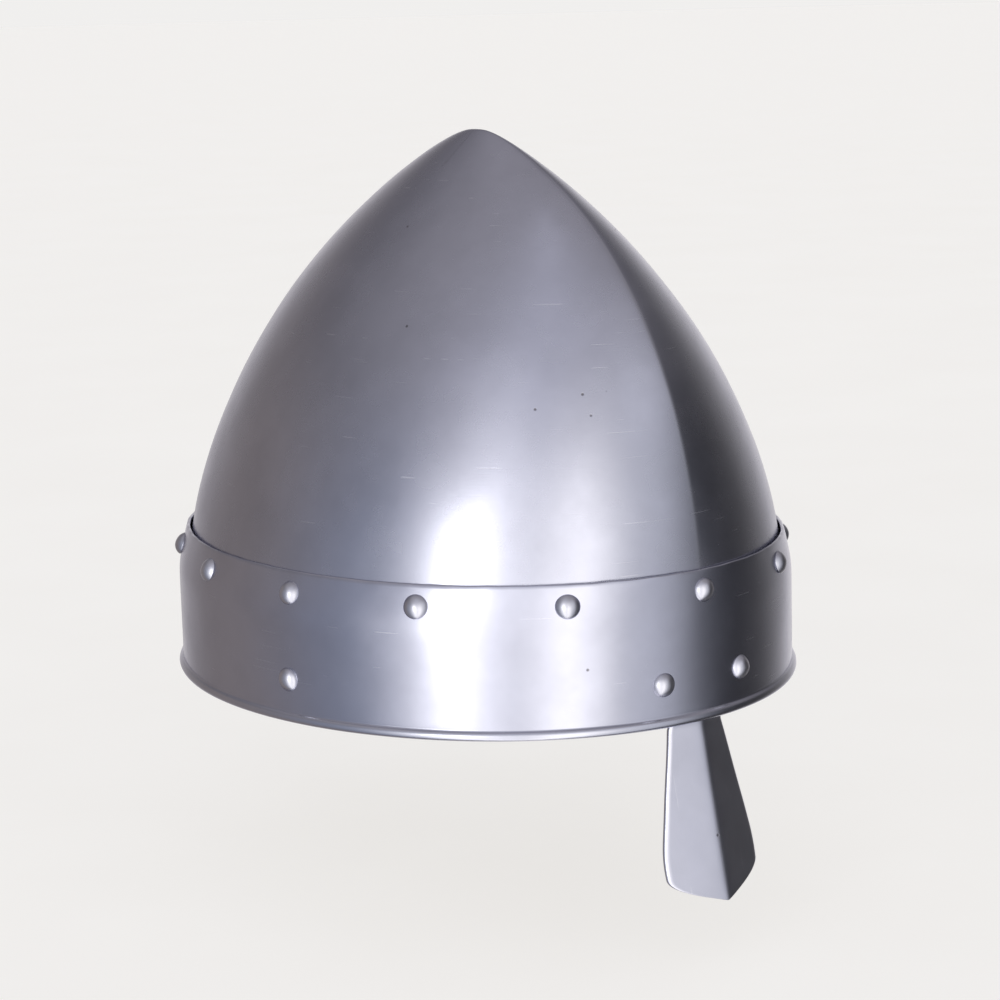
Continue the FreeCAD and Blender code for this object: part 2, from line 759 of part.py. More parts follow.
def make_strap_long():
    """The holed half: from the wearer's right over the arch, its tail on the left."""
    width = size("strap_width")
    strip = ribbon(0.0, size("strap_tail_share"), lambda s: -half_strap, lambda s: half_strap, width)
    whole = tab(-1).fuse(strip)
    slot_width = size("prong_hole_width")
    through = 3 * size("strap_thickness")
    level = line_at(bar_share, 0).z + pivot_z - through / 2
    corner = Vector(bar_x - size("prong_hole_reach"), pivot_y - slot_width / 2, level)
    slot = Part.makeBox(size("prong_hole_length"), slot_width, through, corner)
    return whole.cut([pivot_hole(), slot] + punched_holes())


fold_top = line_at(bar_share, short_offset(bar_share) + half_strap).z + pivot_z
fold_bottom = 2 * bar_z - fold_top


def make_strap_short():
    """The buckle half: from the wearer's left, inside the tail, folded round the hinge bar."""
    width = size("strap_width")
    strip = ribbon(
        bar_share,
        1.0,
        lambda s: short_offset(s) - half_strap,
        lambda s: short_offset(s) + half_strap,
        width,
    )
    bar_radius = size("buckle_wire_radius") + size("buckle_bar_clearance")
    fold_radius = fold_top - bar_z
    start = Vector(bar_x, pivot_y - width / 2, bar_z)
    fold = Part.makeCylinder(fold_radius, width, start, Vector(0, 1, 0))
    under = start - Vector(0, 0, fold_radius)
    back = Part.makeBox(size("fold_length"), width, size("strap_thickness") * size("fold_share"), under)
    bore = Part.makeCylinder(bar_radius, width, start, Vector(0, 1, 0))
    whole = tab(1).fuse([strip, fold, back])
    return whole.cut([bore, prong_slot(), pivot_hole(), fold_rivet(size("fold_rivet_hole_clearance"))])


def make_keeper():
    """A leather loop round both halves."""
    half_share = size("keeper_width") / 2 / line.length(LINE_START, LINE_END)
    first, last = keeper_share - half_share, keeper_share + half_share
    room = size("strap_layer_gap")
    wall = size("keeper_thickness")
    low = -layer - half_strap - room
    high = half_strap + room
    width = size("strap_width") + 2 * room
    outside = ribbon(first, last, lambda s: low - wall, lambda s: high + wall, width + 2 * wall)
    window = ribbon(first - 0.01, last + 0.01, lambda s: low, lambda s: high, width)
    return outside.cut(window)


# ---------------------------------------------------------------- buckle
def rod(start, end, radius):
    """A round bar with rounded ends."""
    along = end - start
    return Part.makeCylinder(radius, along.Length, start, along).fuse(
        [Part.makeSphere(radius, start), Part.makeSphere(radius, end)]
    )


def make_buckle_frame():
    """A rounded rectangle of wire: hinge bar under the strap, far bar over it."""
    radius = size("buckle_wire_radius")
    side = size("strap_width") / 2 + size("buckle_side_clearance") + radius
    near = [Vector(bar_x, pivot_y + s * side, bar_z) for s in (-1, 1)]
    far = [Vector(far_x, pivot_y + s * side, far_z) for s in (-1, 1)]
    bars = [rod(near[0], near[1], radius), rod(far[0], far[1], radius)]
    bars += [rod(near[i], far[i], radius) for i in (0, 1)]
    return bars[0].fuse(bars[1:]).removeSplitter()


def make_prong():
    """An eye that turns on the hinge bar, and a bent pin through the strap."""
    width = size("prong_eye_width")
    start = Vector(bar_x, pivot_y - width / 2, bar_z)
    eye = Part.makeCylinder(size("prong_eye_radius"), width, start, Vector(0, 1, 0))
    bore_radius = size("buckle_wire_radius") + size("pivot_clearance")
    bore = Part.makeCylinder(bore_radius, width, start, Vector(0, 1, 0))
    points = prong_points()
    lower, upper = (rod(points[i], points[i + 1], size("prong_radius")) for i in (0, 1))
    return eye.fuse([lower, upper]).cut(bore)


def fold_rivet(clearance):
    """The small rivet that holds the short half's fold together beside the hinge bar, or its hole."""
    x = bar_x + size("fold_rivet_offset")
    share = share_at(x)
    top = line_at(share, short_offset(share) + half_strap).z + pivot_z
    radius = size("fold_rivet_radius") + clearance
    shank = Part.makeCylinder(radius, top - fold_bottom, Vector(x, pivot_y, fold_bottom))
    height = size("fold_rivet_head_height")
    head = Part.makeCone(1.75 * radius, 2.3 * radius, height, Vector(x, pivot_y, fold_bottom - height))
    return shank if clearance else head.fuse(shank)


# ---------------------------------------------------------------- the sub-parts
def crown_opening():
    """The round opening inside the lace."""
    opening = add("Part::Cylinder", "crown_opening")
    opening.setExpression("Radius", "dims.lace_ring_radius - dims.lace_hole_margin")
    opening.setExpression("Height", "dims.apex_height")
    return opening


brow_holes = feature("brow_holes", Part.makeCompound(brow_drills))
low_holes = feature("low_holes", Part.makeCompound(nasal_drills + strap_drills))
nasal_blank = feature("nasal_blank", make_nasal_guard())
band_holes = add("Part::Compound", "band_holes", Links=[brow_holes, low_holes])
opened_cap = add("Part::Cut", "opened_cap", Base=make_tongue_cap(), Tool=crown_opening())

nodes = [
    add("Part::Cut", "brow_band", Base=make_brow_band(), Tool=band_holes),
    add("Part::Cut", "skull", Base=make_skull(), Tool=brow_holes),
    add("Part::Cut", "nasal_guard", Base=nasal_blank, Tool=low_holes),
    add("Part::Cut", "liner_headband", Base=make_headband(), Tool=brow_holes),
    feature("brow_rivets", Part.makeCompound(brow_rivets)),
    feature("brow_rivet_washers", Part.makeCompound(brow_washers)),
    feature("nasal_rivets", Part.makeCompound(nasal_rivets)),
    feature("nasal_rivet_washers", Part.makeCompound(nasal_washers)),
    feature("strap_rivets", Part.makeCompound(strap_rivets)),
    feature("strap_rivet_washers", Part.makeCompound(strap_washers)),
]
for index in range(int(size("tongue_count"))):
    nodes.append(add("Part::Common", f"liner_tongue_{index + 1}", Base=opened_cap, Tool=tongue_sector(index)))
doc.recompute()
ring_z = lace_height(opened_cap.Shape)
lace = add("Part::Torus", "crown_lace")
lace.setExpression("Radius1", "dims.lace_ring_radius")
lace.setExpression("Radius2", "dims.lace_radius")
lace.Placement = Placement(Vector(0, 0, ring_z), Rotation())
nodes += [
    lace,
    feature("chin_strap_long", make_strap_long()),
    feature("chin_strap_short", make_strap_short()),
    feature("strap_keeper", make_keeper()),
    feature("buckle_frame", make_buckle_frame()),
    feature("buckle_prong", make_prong()),
    feature("buckle_fold_rivet", fold_rivet(0)),
]

doc.recompute()
for made in doc.Objects:
    if "Invalid" in made.State or "Error" in made.State:
        raise RuntimeError(f"{made.Name} did not recompute: {made.State}")
for made in nodes:
    if made.Shape.isNull() or not made.Shape.isValid() or not made.Shape.Solids:
        raise RuntimeError(f"{made.Label} has no valid solid")

os.makedirs("parts", exist_ok=True)
for made in nodes:
    made.Shape.exportStep(os.path.join("parts", f"{made.Label}.step"))
    print(f"{made.Label}: {len(made.Shape.Solids)} solids, {made.Shape.Volume / 1000:.2f} cm3")
print(f"strap pivot y {pivot_y:.3f} z {pivot_z:.3f}")
print(f"hinge bar x {bar_x:.3f} z {bar_z:.3f}, lace z {ring_z:.3f}")
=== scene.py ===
"""The looks of the Norman nasal helmet: polished sheet steel, domed rivets, a laced leather liner and a
buckled chin strap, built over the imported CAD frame.

Metres, in the CAD's own frame: +Z up, the face looks along -Y, the origin is the rim's centre.
"""
import json
import math
import random

import bpy
import numpy as np
from mathutils import Matrix, Vector, noise


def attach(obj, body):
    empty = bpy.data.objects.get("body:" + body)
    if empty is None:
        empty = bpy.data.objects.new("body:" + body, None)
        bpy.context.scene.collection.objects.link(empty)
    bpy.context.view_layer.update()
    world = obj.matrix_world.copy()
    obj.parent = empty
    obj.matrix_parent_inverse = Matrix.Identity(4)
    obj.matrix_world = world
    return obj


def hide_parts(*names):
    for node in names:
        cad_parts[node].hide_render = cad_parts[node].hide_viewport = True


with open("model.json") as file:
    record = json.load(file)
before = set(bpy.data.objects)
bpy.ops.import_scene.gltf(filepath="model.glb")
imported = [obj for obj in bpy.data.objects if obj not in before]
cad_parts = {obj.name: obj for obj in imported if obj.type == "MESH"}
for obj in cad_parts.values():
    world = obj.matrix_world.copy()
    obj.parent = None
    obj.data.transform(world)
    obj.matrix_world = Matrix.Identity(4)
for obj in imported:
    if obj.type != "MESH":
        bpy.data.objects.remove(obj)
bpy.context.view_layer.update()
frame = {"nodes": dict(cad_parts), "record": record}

MM = 0.001
random.seed(14)

# ---- sizes shared with the CAD, in metres
HALF_WIDTH = 100 * MM
HALF_LENGTH = 113.5 * MM
BAND_HEIGHT = 48.5 * MM
BAND_BEND = 36 * MM
BAND_LEAN_SIDE = 4.4 * MM
BAND_LEAN_FRONT = 0.8 * MM
BAND_WALL = 1.2 * MM
BEAD_RADIUS = 1.6 * MM
BEAD_PROUD = 1.4 * MM
SKULL_WALL = 1.2 * MM
GAP_SIDE = 0.9 * MM
GAP_FRONT = 0.3 * MM
SKIRT_BOTTOM = 22 * MM
APEX = 182.3 * MM
DOME_ROOT = 10 * MM
CREASE = 0.5
CROWN_SHIFT = 4 * MM
RIVETS = 14
BROW_ROW = BAND_HEIGHT - 6.6 * MM
LOW_ROW = 13.9 * MM
HEAD_RADIUS = 3.9 * MM
HEAD_HEIGHT = 2.5 * MM
LINER_GAP = 0.3 * MM
LEATHER = 2.0 * MM
TONGUE_LEATHER = 1.8 * MM
TONGUES = 8


# ---- outlines
def clamp(value):
    """The value, kept between 0 and 1."""
    return max(0.0, min(1.0, value))


def run_along(points):
    """Distances along a polyline, from 0 at its first point."""
    return np.concatenate([[0], np.cumsum(np.linalg.norm(np.diff(points, axis=0), axis=1))])


def lean(z):
    """0 up to the bend in the band, rising smoothly to 1 at its top."""
    soft = 1.5 * MM
    rise = (z - BAND_BEND) / soft
    ramp = soft * np.logaddexp(0.0, rise)
    return ramp / (BAND_HEIGHT - BAND_BEND)


def hoop(z, inset):
    """Half-width and half-length of the band's outside at height z, moved inward by inset."""
    share = lean(z)
    return HALF_WIDTH - BAND_LEAN_SIDE * share - inset, HALF_LENGTH - BAND_LEAN_FRONT * share - inset


def rise(z, apex=APEX):
    return (z - DOME_ROOT) / (apex - DOME_ROOT)


ROOT_CREASE = CREASE * rise(BAND_HEIGHT) ** 2


def dome_level(z, wall):
    """Half-width, half-length, crease and forward shift of the skull at height z."""
    apex = APEX - 1.5 * wall
    width, length = hoop(min(z, BAND_HEIGHT), wall + BAND_WALL + GAP_SIDE)
    length += GAP_SIDE - GAP_FRONT
    t, t0 = rise(z, apex), rise(BAND_HEIGHT, apex)
    if z <= BAND_HEIGHT:
        return width, length, ROOT_CREASE, 0.0
    t = min(t, 1.0)
    width *= ((1 - t**2.2) / (1 - t0**2.2)) ** 1.02
    length *= ((1 - t**2.66) / (1 - t0**2.66)) ** 0.7
    return width, length, CREASE * t * t, -CROWN_SHIFT * (t * t - t0 * t0)


def lens_points(width, length, crease, shift, turns, soften=0.0):
    """Points round a level whose two sides meet at the keel; turns runs from -1 to 1, 0 is the front."""
    widest = math.acos(crease / (1 + crease))
    angle = (2 * np.abs(turns) - 1) * widest
    x = width * ((1 + crease) * np.cos(angle) - crease)
    reach = length / math.sqrt(1 - (crease / (1 + crease)) ** 2)
    near_keel = np.clip(1 - x / (7 * soften + 1e-9), 0, 1)
    blunt = x + (np.sqrt(x * x + soften * soften) - x) * near_keel
    share = np.clip((blunt / max(width, 1e-9) + crease) / (1 + crease), 0, 1)
    y = np.sign(np.sin(angle)) * reach * np.sqrt(1 - share * share)
    return np.stack([np.sign(turns) * x, y + shift, np.zeros_like(x)], -1)


def ellipse_points(width, length, turns):
    """Points round an ellipse; turns runs from -1 to 1, and 0 is the front."""
    angle = math.pi * turns
    return np.stack([width * np.sin(angle), -length * np.cos(angle), np.zeros_like(angle)], -1)


def band_place(arc, z):
    """Point and outward direction on the band's outside, arc metres round from the front towards +X."""
    turns = np.linspace(0, 2, 4001)
    width, length = hoop(z, 0.0)
    points = ellipse_points(width, length, turns)
    run = run_along(points)
    turn = float(np.interp(arc % run[-1], run, turns))
    angle = math.pi * turn
    out = Vector((math.sin(angle) / width, -math.cos(angle) / length, 0)).normalized()
    if z > BAND_BEND:
        slope = BAND_LEAN_SIDE * abs(out.x) + BAND_LEAN_FRONT * abs(out.y)
        out.z = slope / (BAND_HEIGHT - BAND_BEND)
        out.normalize()
    return Vector((width * math.sin(angle), -length * math.cos(angle), z)), out, run[-1]


# ---- mesh making
def linked(name, data):
    """An object with this data, put in the scene."""
    made = bpy.data.objects.new(name, data)
    bpy.context.collection.objects.link(made)
    return made


def mesh_object(name, points, faces, uvs=None, wear_and_highlight=None):
    """A mesh object with an optional uv in metres and a wear value for each vertex, which on the steel also
    paints highlights.
    """
    mesh = bpy.data.meshes.new(name)
    mesh.from_pydata([tuple(p) for p in np.asarray(points)], [], faces)
    mesh.validate()
    if uvs is not None:
        layer = mesh.uv_layers.new(name="metres")
        for loop in mesh.loops:
            layer.data[loop.index].uv = uvs[loop.vertex_index]
    if wear_and_highlight is not None:
        colours = mesh.attributes.new("wear_and_highlight", "FLOAT", "POINT")
        colours.data.foreach_set("value", np.asarray(wear_and_highlight, dtype=np.float32))
    mesh.polygons.foreach_set("use_smooth", [True] * len(mesh.polygons))
    return linked(name, mesh)


def grid_faces(rows, columns, around=False, along=False):
    """Quads between neighbouring points of a grid; around closes the columns, along the rows."""
    faces = []
    for i in range(rows if along else rows - 1):
        for j in range(columns if around else columns - 1):
            k, m = (i + 1) % rows, (j + 1) % columns
            faces.append((i * columns + j, i * columns + m, k * columns + m, k * columns + j))
    return faces


def capped_faces(rows, columns):
    """The faces of a row of closed rings, with one face over each end."""
    last = (rows - 1) * columns
    ends = [tuple(range(columns))[::-1], tuple(range(last, last + columns))]
    return grid_faces(rows, columns, around=True) + ends


def merged(parts):
    """The points and faces of several (points, faces) parts together."""
    points, faces = [], []
    for part_points, part_faces in parts:
        start = sum(len(p) for p in points)
        points.append(part_points)
        faces += [tuple(k + start for k in face) for face in part_faces]
    return np.concatenate(points), faces


def waves(point, size, seed):
    """Smooth unevenness, -1 to 1, with bumps about size across."""
    return noise.noise(Vector(point) / size + Vector((seed, 0, 0)))


def finish_piece(piece, body, material, slot, *nodes):
    """Gives a piece its material and its body, and hides the CAD nodes it stands for; slot is not used."""
    piece.data.materials.clear()
    piece.data.materials.append(material)
    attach(piece, body)
    if nodes:
        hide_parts(*nodes)
    return piece


# ---- materials
class Nodes:
    """A short way to write a node tree."""

    def __init__(self, tree):
        self.tree = tree
        tree.nodes.clear()

    def make(self, kind, settings=None, **inputs):
        node = self.tree.nodes.new(kind)
        for key, value in (settings or {}).items():
            setattr(node, key, value)
        for key, value in inputs.items():
            socket = node.inputs[int(key[1:]) if key[0] == "_" else key.replace("_", " ")]
            if isinstance(value, bpy.types.NodeSocket):
                self.tree.links.new(value, socket)
            else:
                socket.default_value = value
        return node

    def math(self, operation, a, b=0.0):
        return self.make("ShaderNodeMath", {"operation": operation}, _0=a, _1=b).outputs[0]

    def times(self, a, b):
        return self.math("MULTIPLY", a, b)

    def plus(self, a, b):
        return self.math("ADD", a, b)

    def minus(self, a, b):
        return self.math("SUBTRACT", a, b)

    def vector(self, operation, **inputs):
        return self.make("ShaderNodeVectorMath", {"operation": operation}, **inputs)

    def noise(self, vector, scale, detail=2.0, roughness=0.5):
        node = self.make("ShaderNodeTexNoise", Vector=vector, Scale=scale, Detail=detail, Roughness=roughness)
        return node.outputs[0]

    def stretch(self, vector, scale, turn=0.0):
        node = self.make("ShaderNodeMapping", Vector=vector, Rotation=(0, 0, turn), Scale=scale)
        return node.outputs[0]

    def span(self, value, low, high, to_low=0.0, to_high=1.0):
        settings = {"interpolation_type": "SMOOTHSTEP"}
        node = self.make("ShaderNodeMapRange", settings, _0=value, _1=low, _2=high, _3=to_low, _4=to_high)
        return node.outputs[0]

    def mix(self, share, a, b):
        node = self.make("ShaderNodeMix", {"data_type": "RGBA"}, _0=share, _6=a, _7=b)
        return node.outputs[2]

    def over(self, base, mask, strength, colour):
        """The base colour with another laid over it where the mask says."""
        return self.mix(self.times(mask, strength), base, (*colour, 1))

    def surface(self, colour, rough, height, strength, distance, **inputs):
        """The finished surface: colour, roughness and a bump of this height in metres."""
        bump = self.make("ShaderNodeBump", Strength=strength, Distance=distance, Height=height).outputs[0]
        inputs = {"Base_Color": colour, "Roughness": rough, "Normal": bump, **inputs}
        shader = self.make("ShaderNodeBsdfPrincipled", **inputs)
        self.make("ShaderNodeOutputMaterial", Surface=shader.outputs[0])


def new_material(name):
    """A material, the writer of its nodes, and the place on the object that its patterns follow."""
    material = bpy.data.materials.new(name)
    material.use_nodes = True
    nodes = Nodes(material.node_tree)
    return material, nodes, nodes.make("ShaderNodeTexCoord").outputs["Object"]


def shade(colour, share):
    """A darker colour of the same hue."""
    return tuple(c * share for c in colour)


def scratches(nodes, uv, turn, density, length=14.0, width=1500.0):
    """Thin broken lines at one slant."""
    lines = nodes.noise(nodes.stretch(uv, (length, width, 1), turn), 1.0, 1.0)
    thin = nodes.span(lines, 0.72 - density, 0.76 - density)
    broken = nodes.span(nodes.noise(nodes.stretch(uv, (60, 60, 1), turn), 1.0, 2.0), 0.56, 0.64)
    return nodes.times(thin, broken)


def steel(name, colour, roughness, grain=1.0, unwrapped=True):
    """Satin-polished sheet steel: fine grinding marks, faint mottling, a few scratches and pits, and lighter
    worn steel that also serves as a painted highlight.
    """
    material, nodes, place = new_material(name)
    uv = nodes.make("ShaderNodeUVMap", {"uv_map": "metres"}).outputs[0] if unwrapped else place
    worn_and_highlight = nodes.make("ShaderNodeAttribute", {"attribute_name": "wear_and_highlight"}).outputs["Fac"]

    mottle = nodes.noise(place, 26.0, 4.0, 0.6)
    cloud = nodes.noise(place, 75.0, 3.0, 0.65)
    brushed = nodes.noise(nodes.stretch(uv, (90, 2600, 1), 0.12), 1.0, 3.0, 0.7)
    crossed = nodes.noise(nodes.stretch(uv, (160, 2200, 1), 1.1), 1.0, 2.0, 0.6)
    fine = nodes.noise(place, 2300.0, 2.0, 0.7)
    cuts = nodes.math("MAXIMUM", scratches(nodes, uv, 0.5, 0.0), scratches(nodes, uv, -0.9, 0.02))
    cuts = nodes.math("MAXIMUM", cuts, scratches(nodes, uv, 2.1, 0.01, 9.0, 1100.0))

    cells = nodes.make("ShaderNodeTexVoronoi", Vector=place, Scale=150.0)
    near = nodes.span(cells.outputs["Distance"], 0.10, 0.03)
    lot = nodes.make("ShaderNodeSeparateColor", Color=cells.outputs["Color"]).outputs[0]
    chosen = nodes.span(lot, 0.93, 0.94)
    pits = nodes.times(near, chosen)
    specks = nodes.span(nodes.noise(place, 2100.0, 2.0, 0.6), 0.70, 0.80)
    dusty = nodes.times(specks, nodes.span(cloud, 0.45, 0.75))

    base = nodes.mix(nodes.span(mottle, 0.25, 0.75), (*shade(colour, 0.86), 1), (*colour, 1))
    base = nodes.over(base, pits, 0.75, (0.10, 0.085, 0.08))
    base = nodes.over(base, dusty, 0.18, (0.80, 0.80, 0.82))
    # Lighter steel where the wear value is set: worn steel, and also a painted highlight along the keel, the
    # band's top edge and bead, the nasal's edges and fold, and the rivets' crowns.
    base = nodes.over(base, worn_and_highlight, 0.5, (0.78, 0.78, 0.80))
    base = nodes.over(base, cuts, 0.35, (0.82, 0.82, 0.84))

    rough = nodes.span(cloud, 0.2, 0.8, roughness - 0.02, roughness + 0.03)
    rough = nodes.plus(rough, nodes.times(cuts, 0.10))
    rough = nodes.plus(rough, nodes.times(dusty, 0.12))

    height = nodes.times(brushed, 0.8 * grain)
    height = nodes.plus(height, nodes.times(crossed, 0.5 * grain))
    height = nodes.plus(height, nodes.times(fine, 0.5 * grain))
    height = nodes.minus(height, nodes.times(cuts, 0.9))
    height = nodes.minus(height, nodes.times(pits, 6.0))
    cool = (0.93, 0.93, 1.0, 1)
    nodes.surface(base, rough, height, 1.0, 0.0000085, Metallic=1.0, Specular_Tint=cool)
    return material


def leather(name, light, dark, grain=1.0, gloss=0.55):
    """Tanned leather: pebbled grain, pores, creases and darker, burnished edges."""
    material, nodes, place = new_material(name)
    worn_and_highlight = nodes.make("ShaderNodeAttribute", {"attribute_name": "wear_and_highlight"}).outputs["Fac"]
    cloud = nodes.noise(place, 38.0, 4.0, 0.6)
    blotch = nodes.noise(place, 140.0, 3.0, 0.6)
    edges = {"feature": "DISTANCE_TO_EDGE"}
    pebble = nodes.make("ShaderNodeTexVoronoi", edges, Vector=place, Scale=900.0 / grain)
    pebbles = nodes.span(pebble.outputs["Distance"], 0.0, 0.22)
    pores = nodes.span(nodes.noise(place, 2600.0, 2.0, 0.5), 0.60, 0.72)
    crease = nodes.make("ShaderNodeTexVoronoi", edges, Vector=place, Scale=120.0)
    creases = nodes.span(crease.outputs["Distance"], 0.0, 0.05)

    base = nodes.mix(nodes.span(cloud, 0.3, 0.7), (*dark, 1), (*light, 1))
    base = nodes.over(base, nodes.span(blotch, 0.5, 0.75), 0.35, dark)
    base = nodes.over(base, pores, 0.4, shade(dark, 0.5))
    base = nodes.over(base, worn_and_highlight, 0.75, shade(dark, 0.35))
    rough = nodes.span(pebbles, 0.0, 1.0, gloss + 0.18, gloss)
    height = nodes.plus(pebbles, nodes.times(creases, 0.8))
    height = nodes.minus(height, nodes.times(pores, 0.6))
    nodes.surface(base, rough, height, 0.7, 0.00012)
    return material


def thread(name, colour):
    """Waxed linen thread, twisted."""
    material, nodes, place = new_material(name)
    fibres = nodes.noise(place, 4200.0, 2.0, 0.6)
    base = nodes.mix(fibres, (*shade(colour, 0.6), 1), (*colour, 1))
    nodes.surface(base, 0.7, fibres, 0.6, 0.00008)
    return material


SKULL_STEEL = steel("skull_steel", (0.595, 0.60, 0.66), 0.26)
BAND_STEEL = steel("band_steel", (0.60, 0.605, 0.67), 0.23)
NASAL_STEEL = steel("nasal_steel", (0.70, 0.70, 0.755), 0.29)
RIVET_STEEL = steel("rivet_steel", (0.63, 0.63, 0.67), 0.33, grain=0.6)
WASHER_STEEL = steel("washer_steel", (0.40, 0.39, 0.38), 0.42, unwrapped=False)
BRASS = steel("buckle_brass", (0.62, 0.43, 0.17), 0.33, grain=0.5, unwrapped=False)
LINER_LEATHER = leather("liner_leather", (0.36, 0.20, 0.10), (0.22, 0.115, 0.055))
STRAP_LEATHER = leather("strap_leather", (0.15, 0.075, 0.038), (0.075, 0.036, 0.02), gloss=0.42)
LACE_LEATHER = leather("lace_leather", (0.16, 0.085, 0.045), (0.08, 0.04, 0.02), grain=0.6, gloss=0.45)
LINEN = thread("linen_thread", (0.62, 0.52, 0.36))


# ---- skull
def keel_turns(count):
    """Places round the skull, closer together at the keel; -1 and 1 are the back, 0 the front."""
    even = np.linspace(0, 1, count)
    crowded = even - 0.92 * np.sin(2 * math.pi * even) / (2 * math.pi)
    return np.concatenate([-crowded[::-1], crowded[1:-1]])


def skull_surface(wall, turns):
    """One face of the skull, level by level, with the slight unevenness of hand-worked sheet."""
    tip = APEX - 1.5 * wall
    low = np.linspace(SKIRT_BOTTOM, BAND_HEIGHT, 10)
    up = BAND_HEIGHT + (tip - BAND_HEIGHT) * np.sin(np.linspace(0, math.pi / 2, 84)[1:])
    rows = []
    for z in [*low, *up[:-1], up[-1] - 0.02 * MM]:
        width, length, crease, shift = dome_level(z, wall)
        soften = min(0.5 * MM + 2.4 * MM * rise(z) ** 4, 0.16 * width)
        row = lens_points(width, length, crease, shift, turns, soften)
        row[:, 2] = z
        rows.append(row)
    points = np.array(rows)
    depth = tip - points[:, :, 2]
    points[:, :, 2] = tip + 0.75 * MM - np.sqrt(depth**2 + (1.0 * MM) ** 2)
    for row in points:
        above = clamp(min((row[0, 2] - BAND_HEIGHT) / (12 * MM), (tip - row[0, 2]) / (20 * MM)))
        for p in row:
            out = Vector((p[0], p[1], max(0.0, p[2] - BAND_HEIGHT) * 0.8)).normalized()
            push = 0.36 * MM * waves(p, 55 * MM, 3) + 0.13 * MM * waves(p, 24 * MM, 9)
            p += np.array(out) * push * above
    return points


def make_skull():
    """The two faces as one closed skin, joined round the skirt; the keel is painted lighter, partly as worn
    steel and partly as a painted highlight.
    """
    turns = keel_turns(130)
    outer = skull_surface(0.0, turns)
    inner = skull_surface(SKULL_WALL, turns)
    grid = np.concatenate([outer[::-1], inner])
    rows, columns = grid.shape[:2]
    faces = [f[::-1] for f in capped_faces(rows, columns)]
    flat = grid.reshape(-1, 3)
    half_girth = 0.32
    run = np.broadcast_to(turns * half_girth, (rows, columns)).reshape(-1)
    is_inner = np.repeat(np.arange(rows), columns) >= len(outer)
    uvs = np.stack([run, flat[:, 2] + is_inner * 0.5], -1)
    # Painted highlight: the keel, front and back, is painted lighter, partly as worn steel.
    keel_width = 0.006
    keel = np.clip(1 - np.minimum(np.abs(turns), 1 - np.abs(turns)) / keel_width, 0, 1)
    wear_and_highlight = np.broadcast_to(keel * 0.5, (rows, columns)).reshape(-1)
    made = mesh_object("skull_shell", flat, faces, uvs, wear_and_highlight)
    finish_piece(made, "shell", SKULL_STEEL, "skull_steel", "skull")


# ---- brow band
def band_profile():
    """The band's section, outside first: (inset from the outside, height), as a closed loop."""
    centre = BEAD_RADIUS - BEAD_PROUD
    crest = [(0.55 * MM, BAND_HEIGHT), (0.22 * MM, BAND_HEIGHT - 0.08 * MM)]
    crest.append((0.04 * MM, BAND_HEIGHT - 0.3 * MM))
    wall = [(0.0, z) for z in np.linspace(BAND_HEIGHT - 1.2 * MM, 5.0 * MM, 26)]
    root = [(0.0, 4.2 * MM), (0.02 * MM, 3.75 * MM), (0.10 * MM, 3.35 * MM)]
    bead = []
    for degrees in range(62, -200, -16):
        a = math.radians(degrees)
        bead.append((centre - BEAD_RADIUS * math.cos(a), BEAD_RADIUS * (1 + math.sin(a))))
    inside = [(BAND_WALL, z) for z in np.linspace(3.2 * MM, BAND_HEIGHT - 0.3 * MM, 20)]
    return crest + wall + root + bead + inside + [(0.9 * MM, BAND_HEIGHT - 0.02 * MM)]


def make_band():
    """The hoop, beaten a little uneven, its top edge hand-filed; the top edge and the bead are painted
    lighter, partly as worn steel and partly as a painted highlight.
    """
    profile = band_profile()
    turns = np.linspace(-1, 1, 481)[:-1]
    rows = []
    for inset, z in profile:
        width, length = hoop(z, inset)
        row = ellipse_points(width, length, turns)
        row[:, 2] = z
        edge = clamp((z - BAND_HEIGHT + 3 * MM) / (3 * MM))
        for p in row:
            out = Vector((p[0], p[1], 0)).normalized()
            push = 0.28 * MM * waves((p[0], p[1], p[2] * 0.6), 48 * MM, 21) + 0.07 * MM * waves(p, 17 * MM, 5)
            push -= edge * (0.16 * MM * waves(p, 9 * MM, 31) + 0.05 * MM)
            p += np.array(out) * push * min(1.0, z / (5 * MM) + 0.3)
            p[2] += edge * 0.16 * MM * waves(p, 6 * MM, 40)
        rows.append(row)
    faces = grid_faces(len(profile), len(turns), around=True, along=True)
    half_girth = 0.336
    uvs = np.stack(np.meshgrid(turns * half_girth, run_along(np.array(profile))), -1).reshape(-1, 2)
    # Painted highlight: the top edge and the bead's crest are painted lighter, partly as worn steel.
    wear_and_highlight = []
    for inset, z in profile:
        top, bead = z > BAND_HEIGHT - 0.25 * MM, inset < -0.9 * MM
        wear_and_highlight += [0.55 * top + 0.35 * bead] * len(turns)
    made = mesh_object("brow_hoop", np.array(rows).reshape(-1, 3), faces, uvs, wear_and_highlight)
    finish_piece(made, "shell", BAND_STEEL, "band_steel", "brow_band")


# ---- nasal guard
def least(values, blend):
    """The smallest of some lengths, rounded where two are close."""
    result = values[0]
    for value in values[1:]:
        share = clamp(0.5 + 0.5 * (value - result) / blend)
        result = value * (1 - share) + result * share - blend * share * (1 - share)
    return result


NASAL_TIP = -57.5 * MM
NASAL_WIDEST = -43 * MM
NASAL_WALL = 1.8 * MM
PLATE_ACROSS = 41
PLATE_BEND = [math.radians(degrees) for degrees in range(30, 180, 30)]


def nasal_half_width(z):
    """The guard's outline, from its pointed end up to the neck."""
    neck = 10.7 * MM + max(0.0, -z) * 8.8 / 43
    side = 19.5 * MM - (NASAL_WIDEST - z) * 0.09
    end = (z - NASAL_TIP) * 18.9 / 5.6
    return max(0.0, least([least([neck, side], 1.7 * MM), end], 11 * MM))


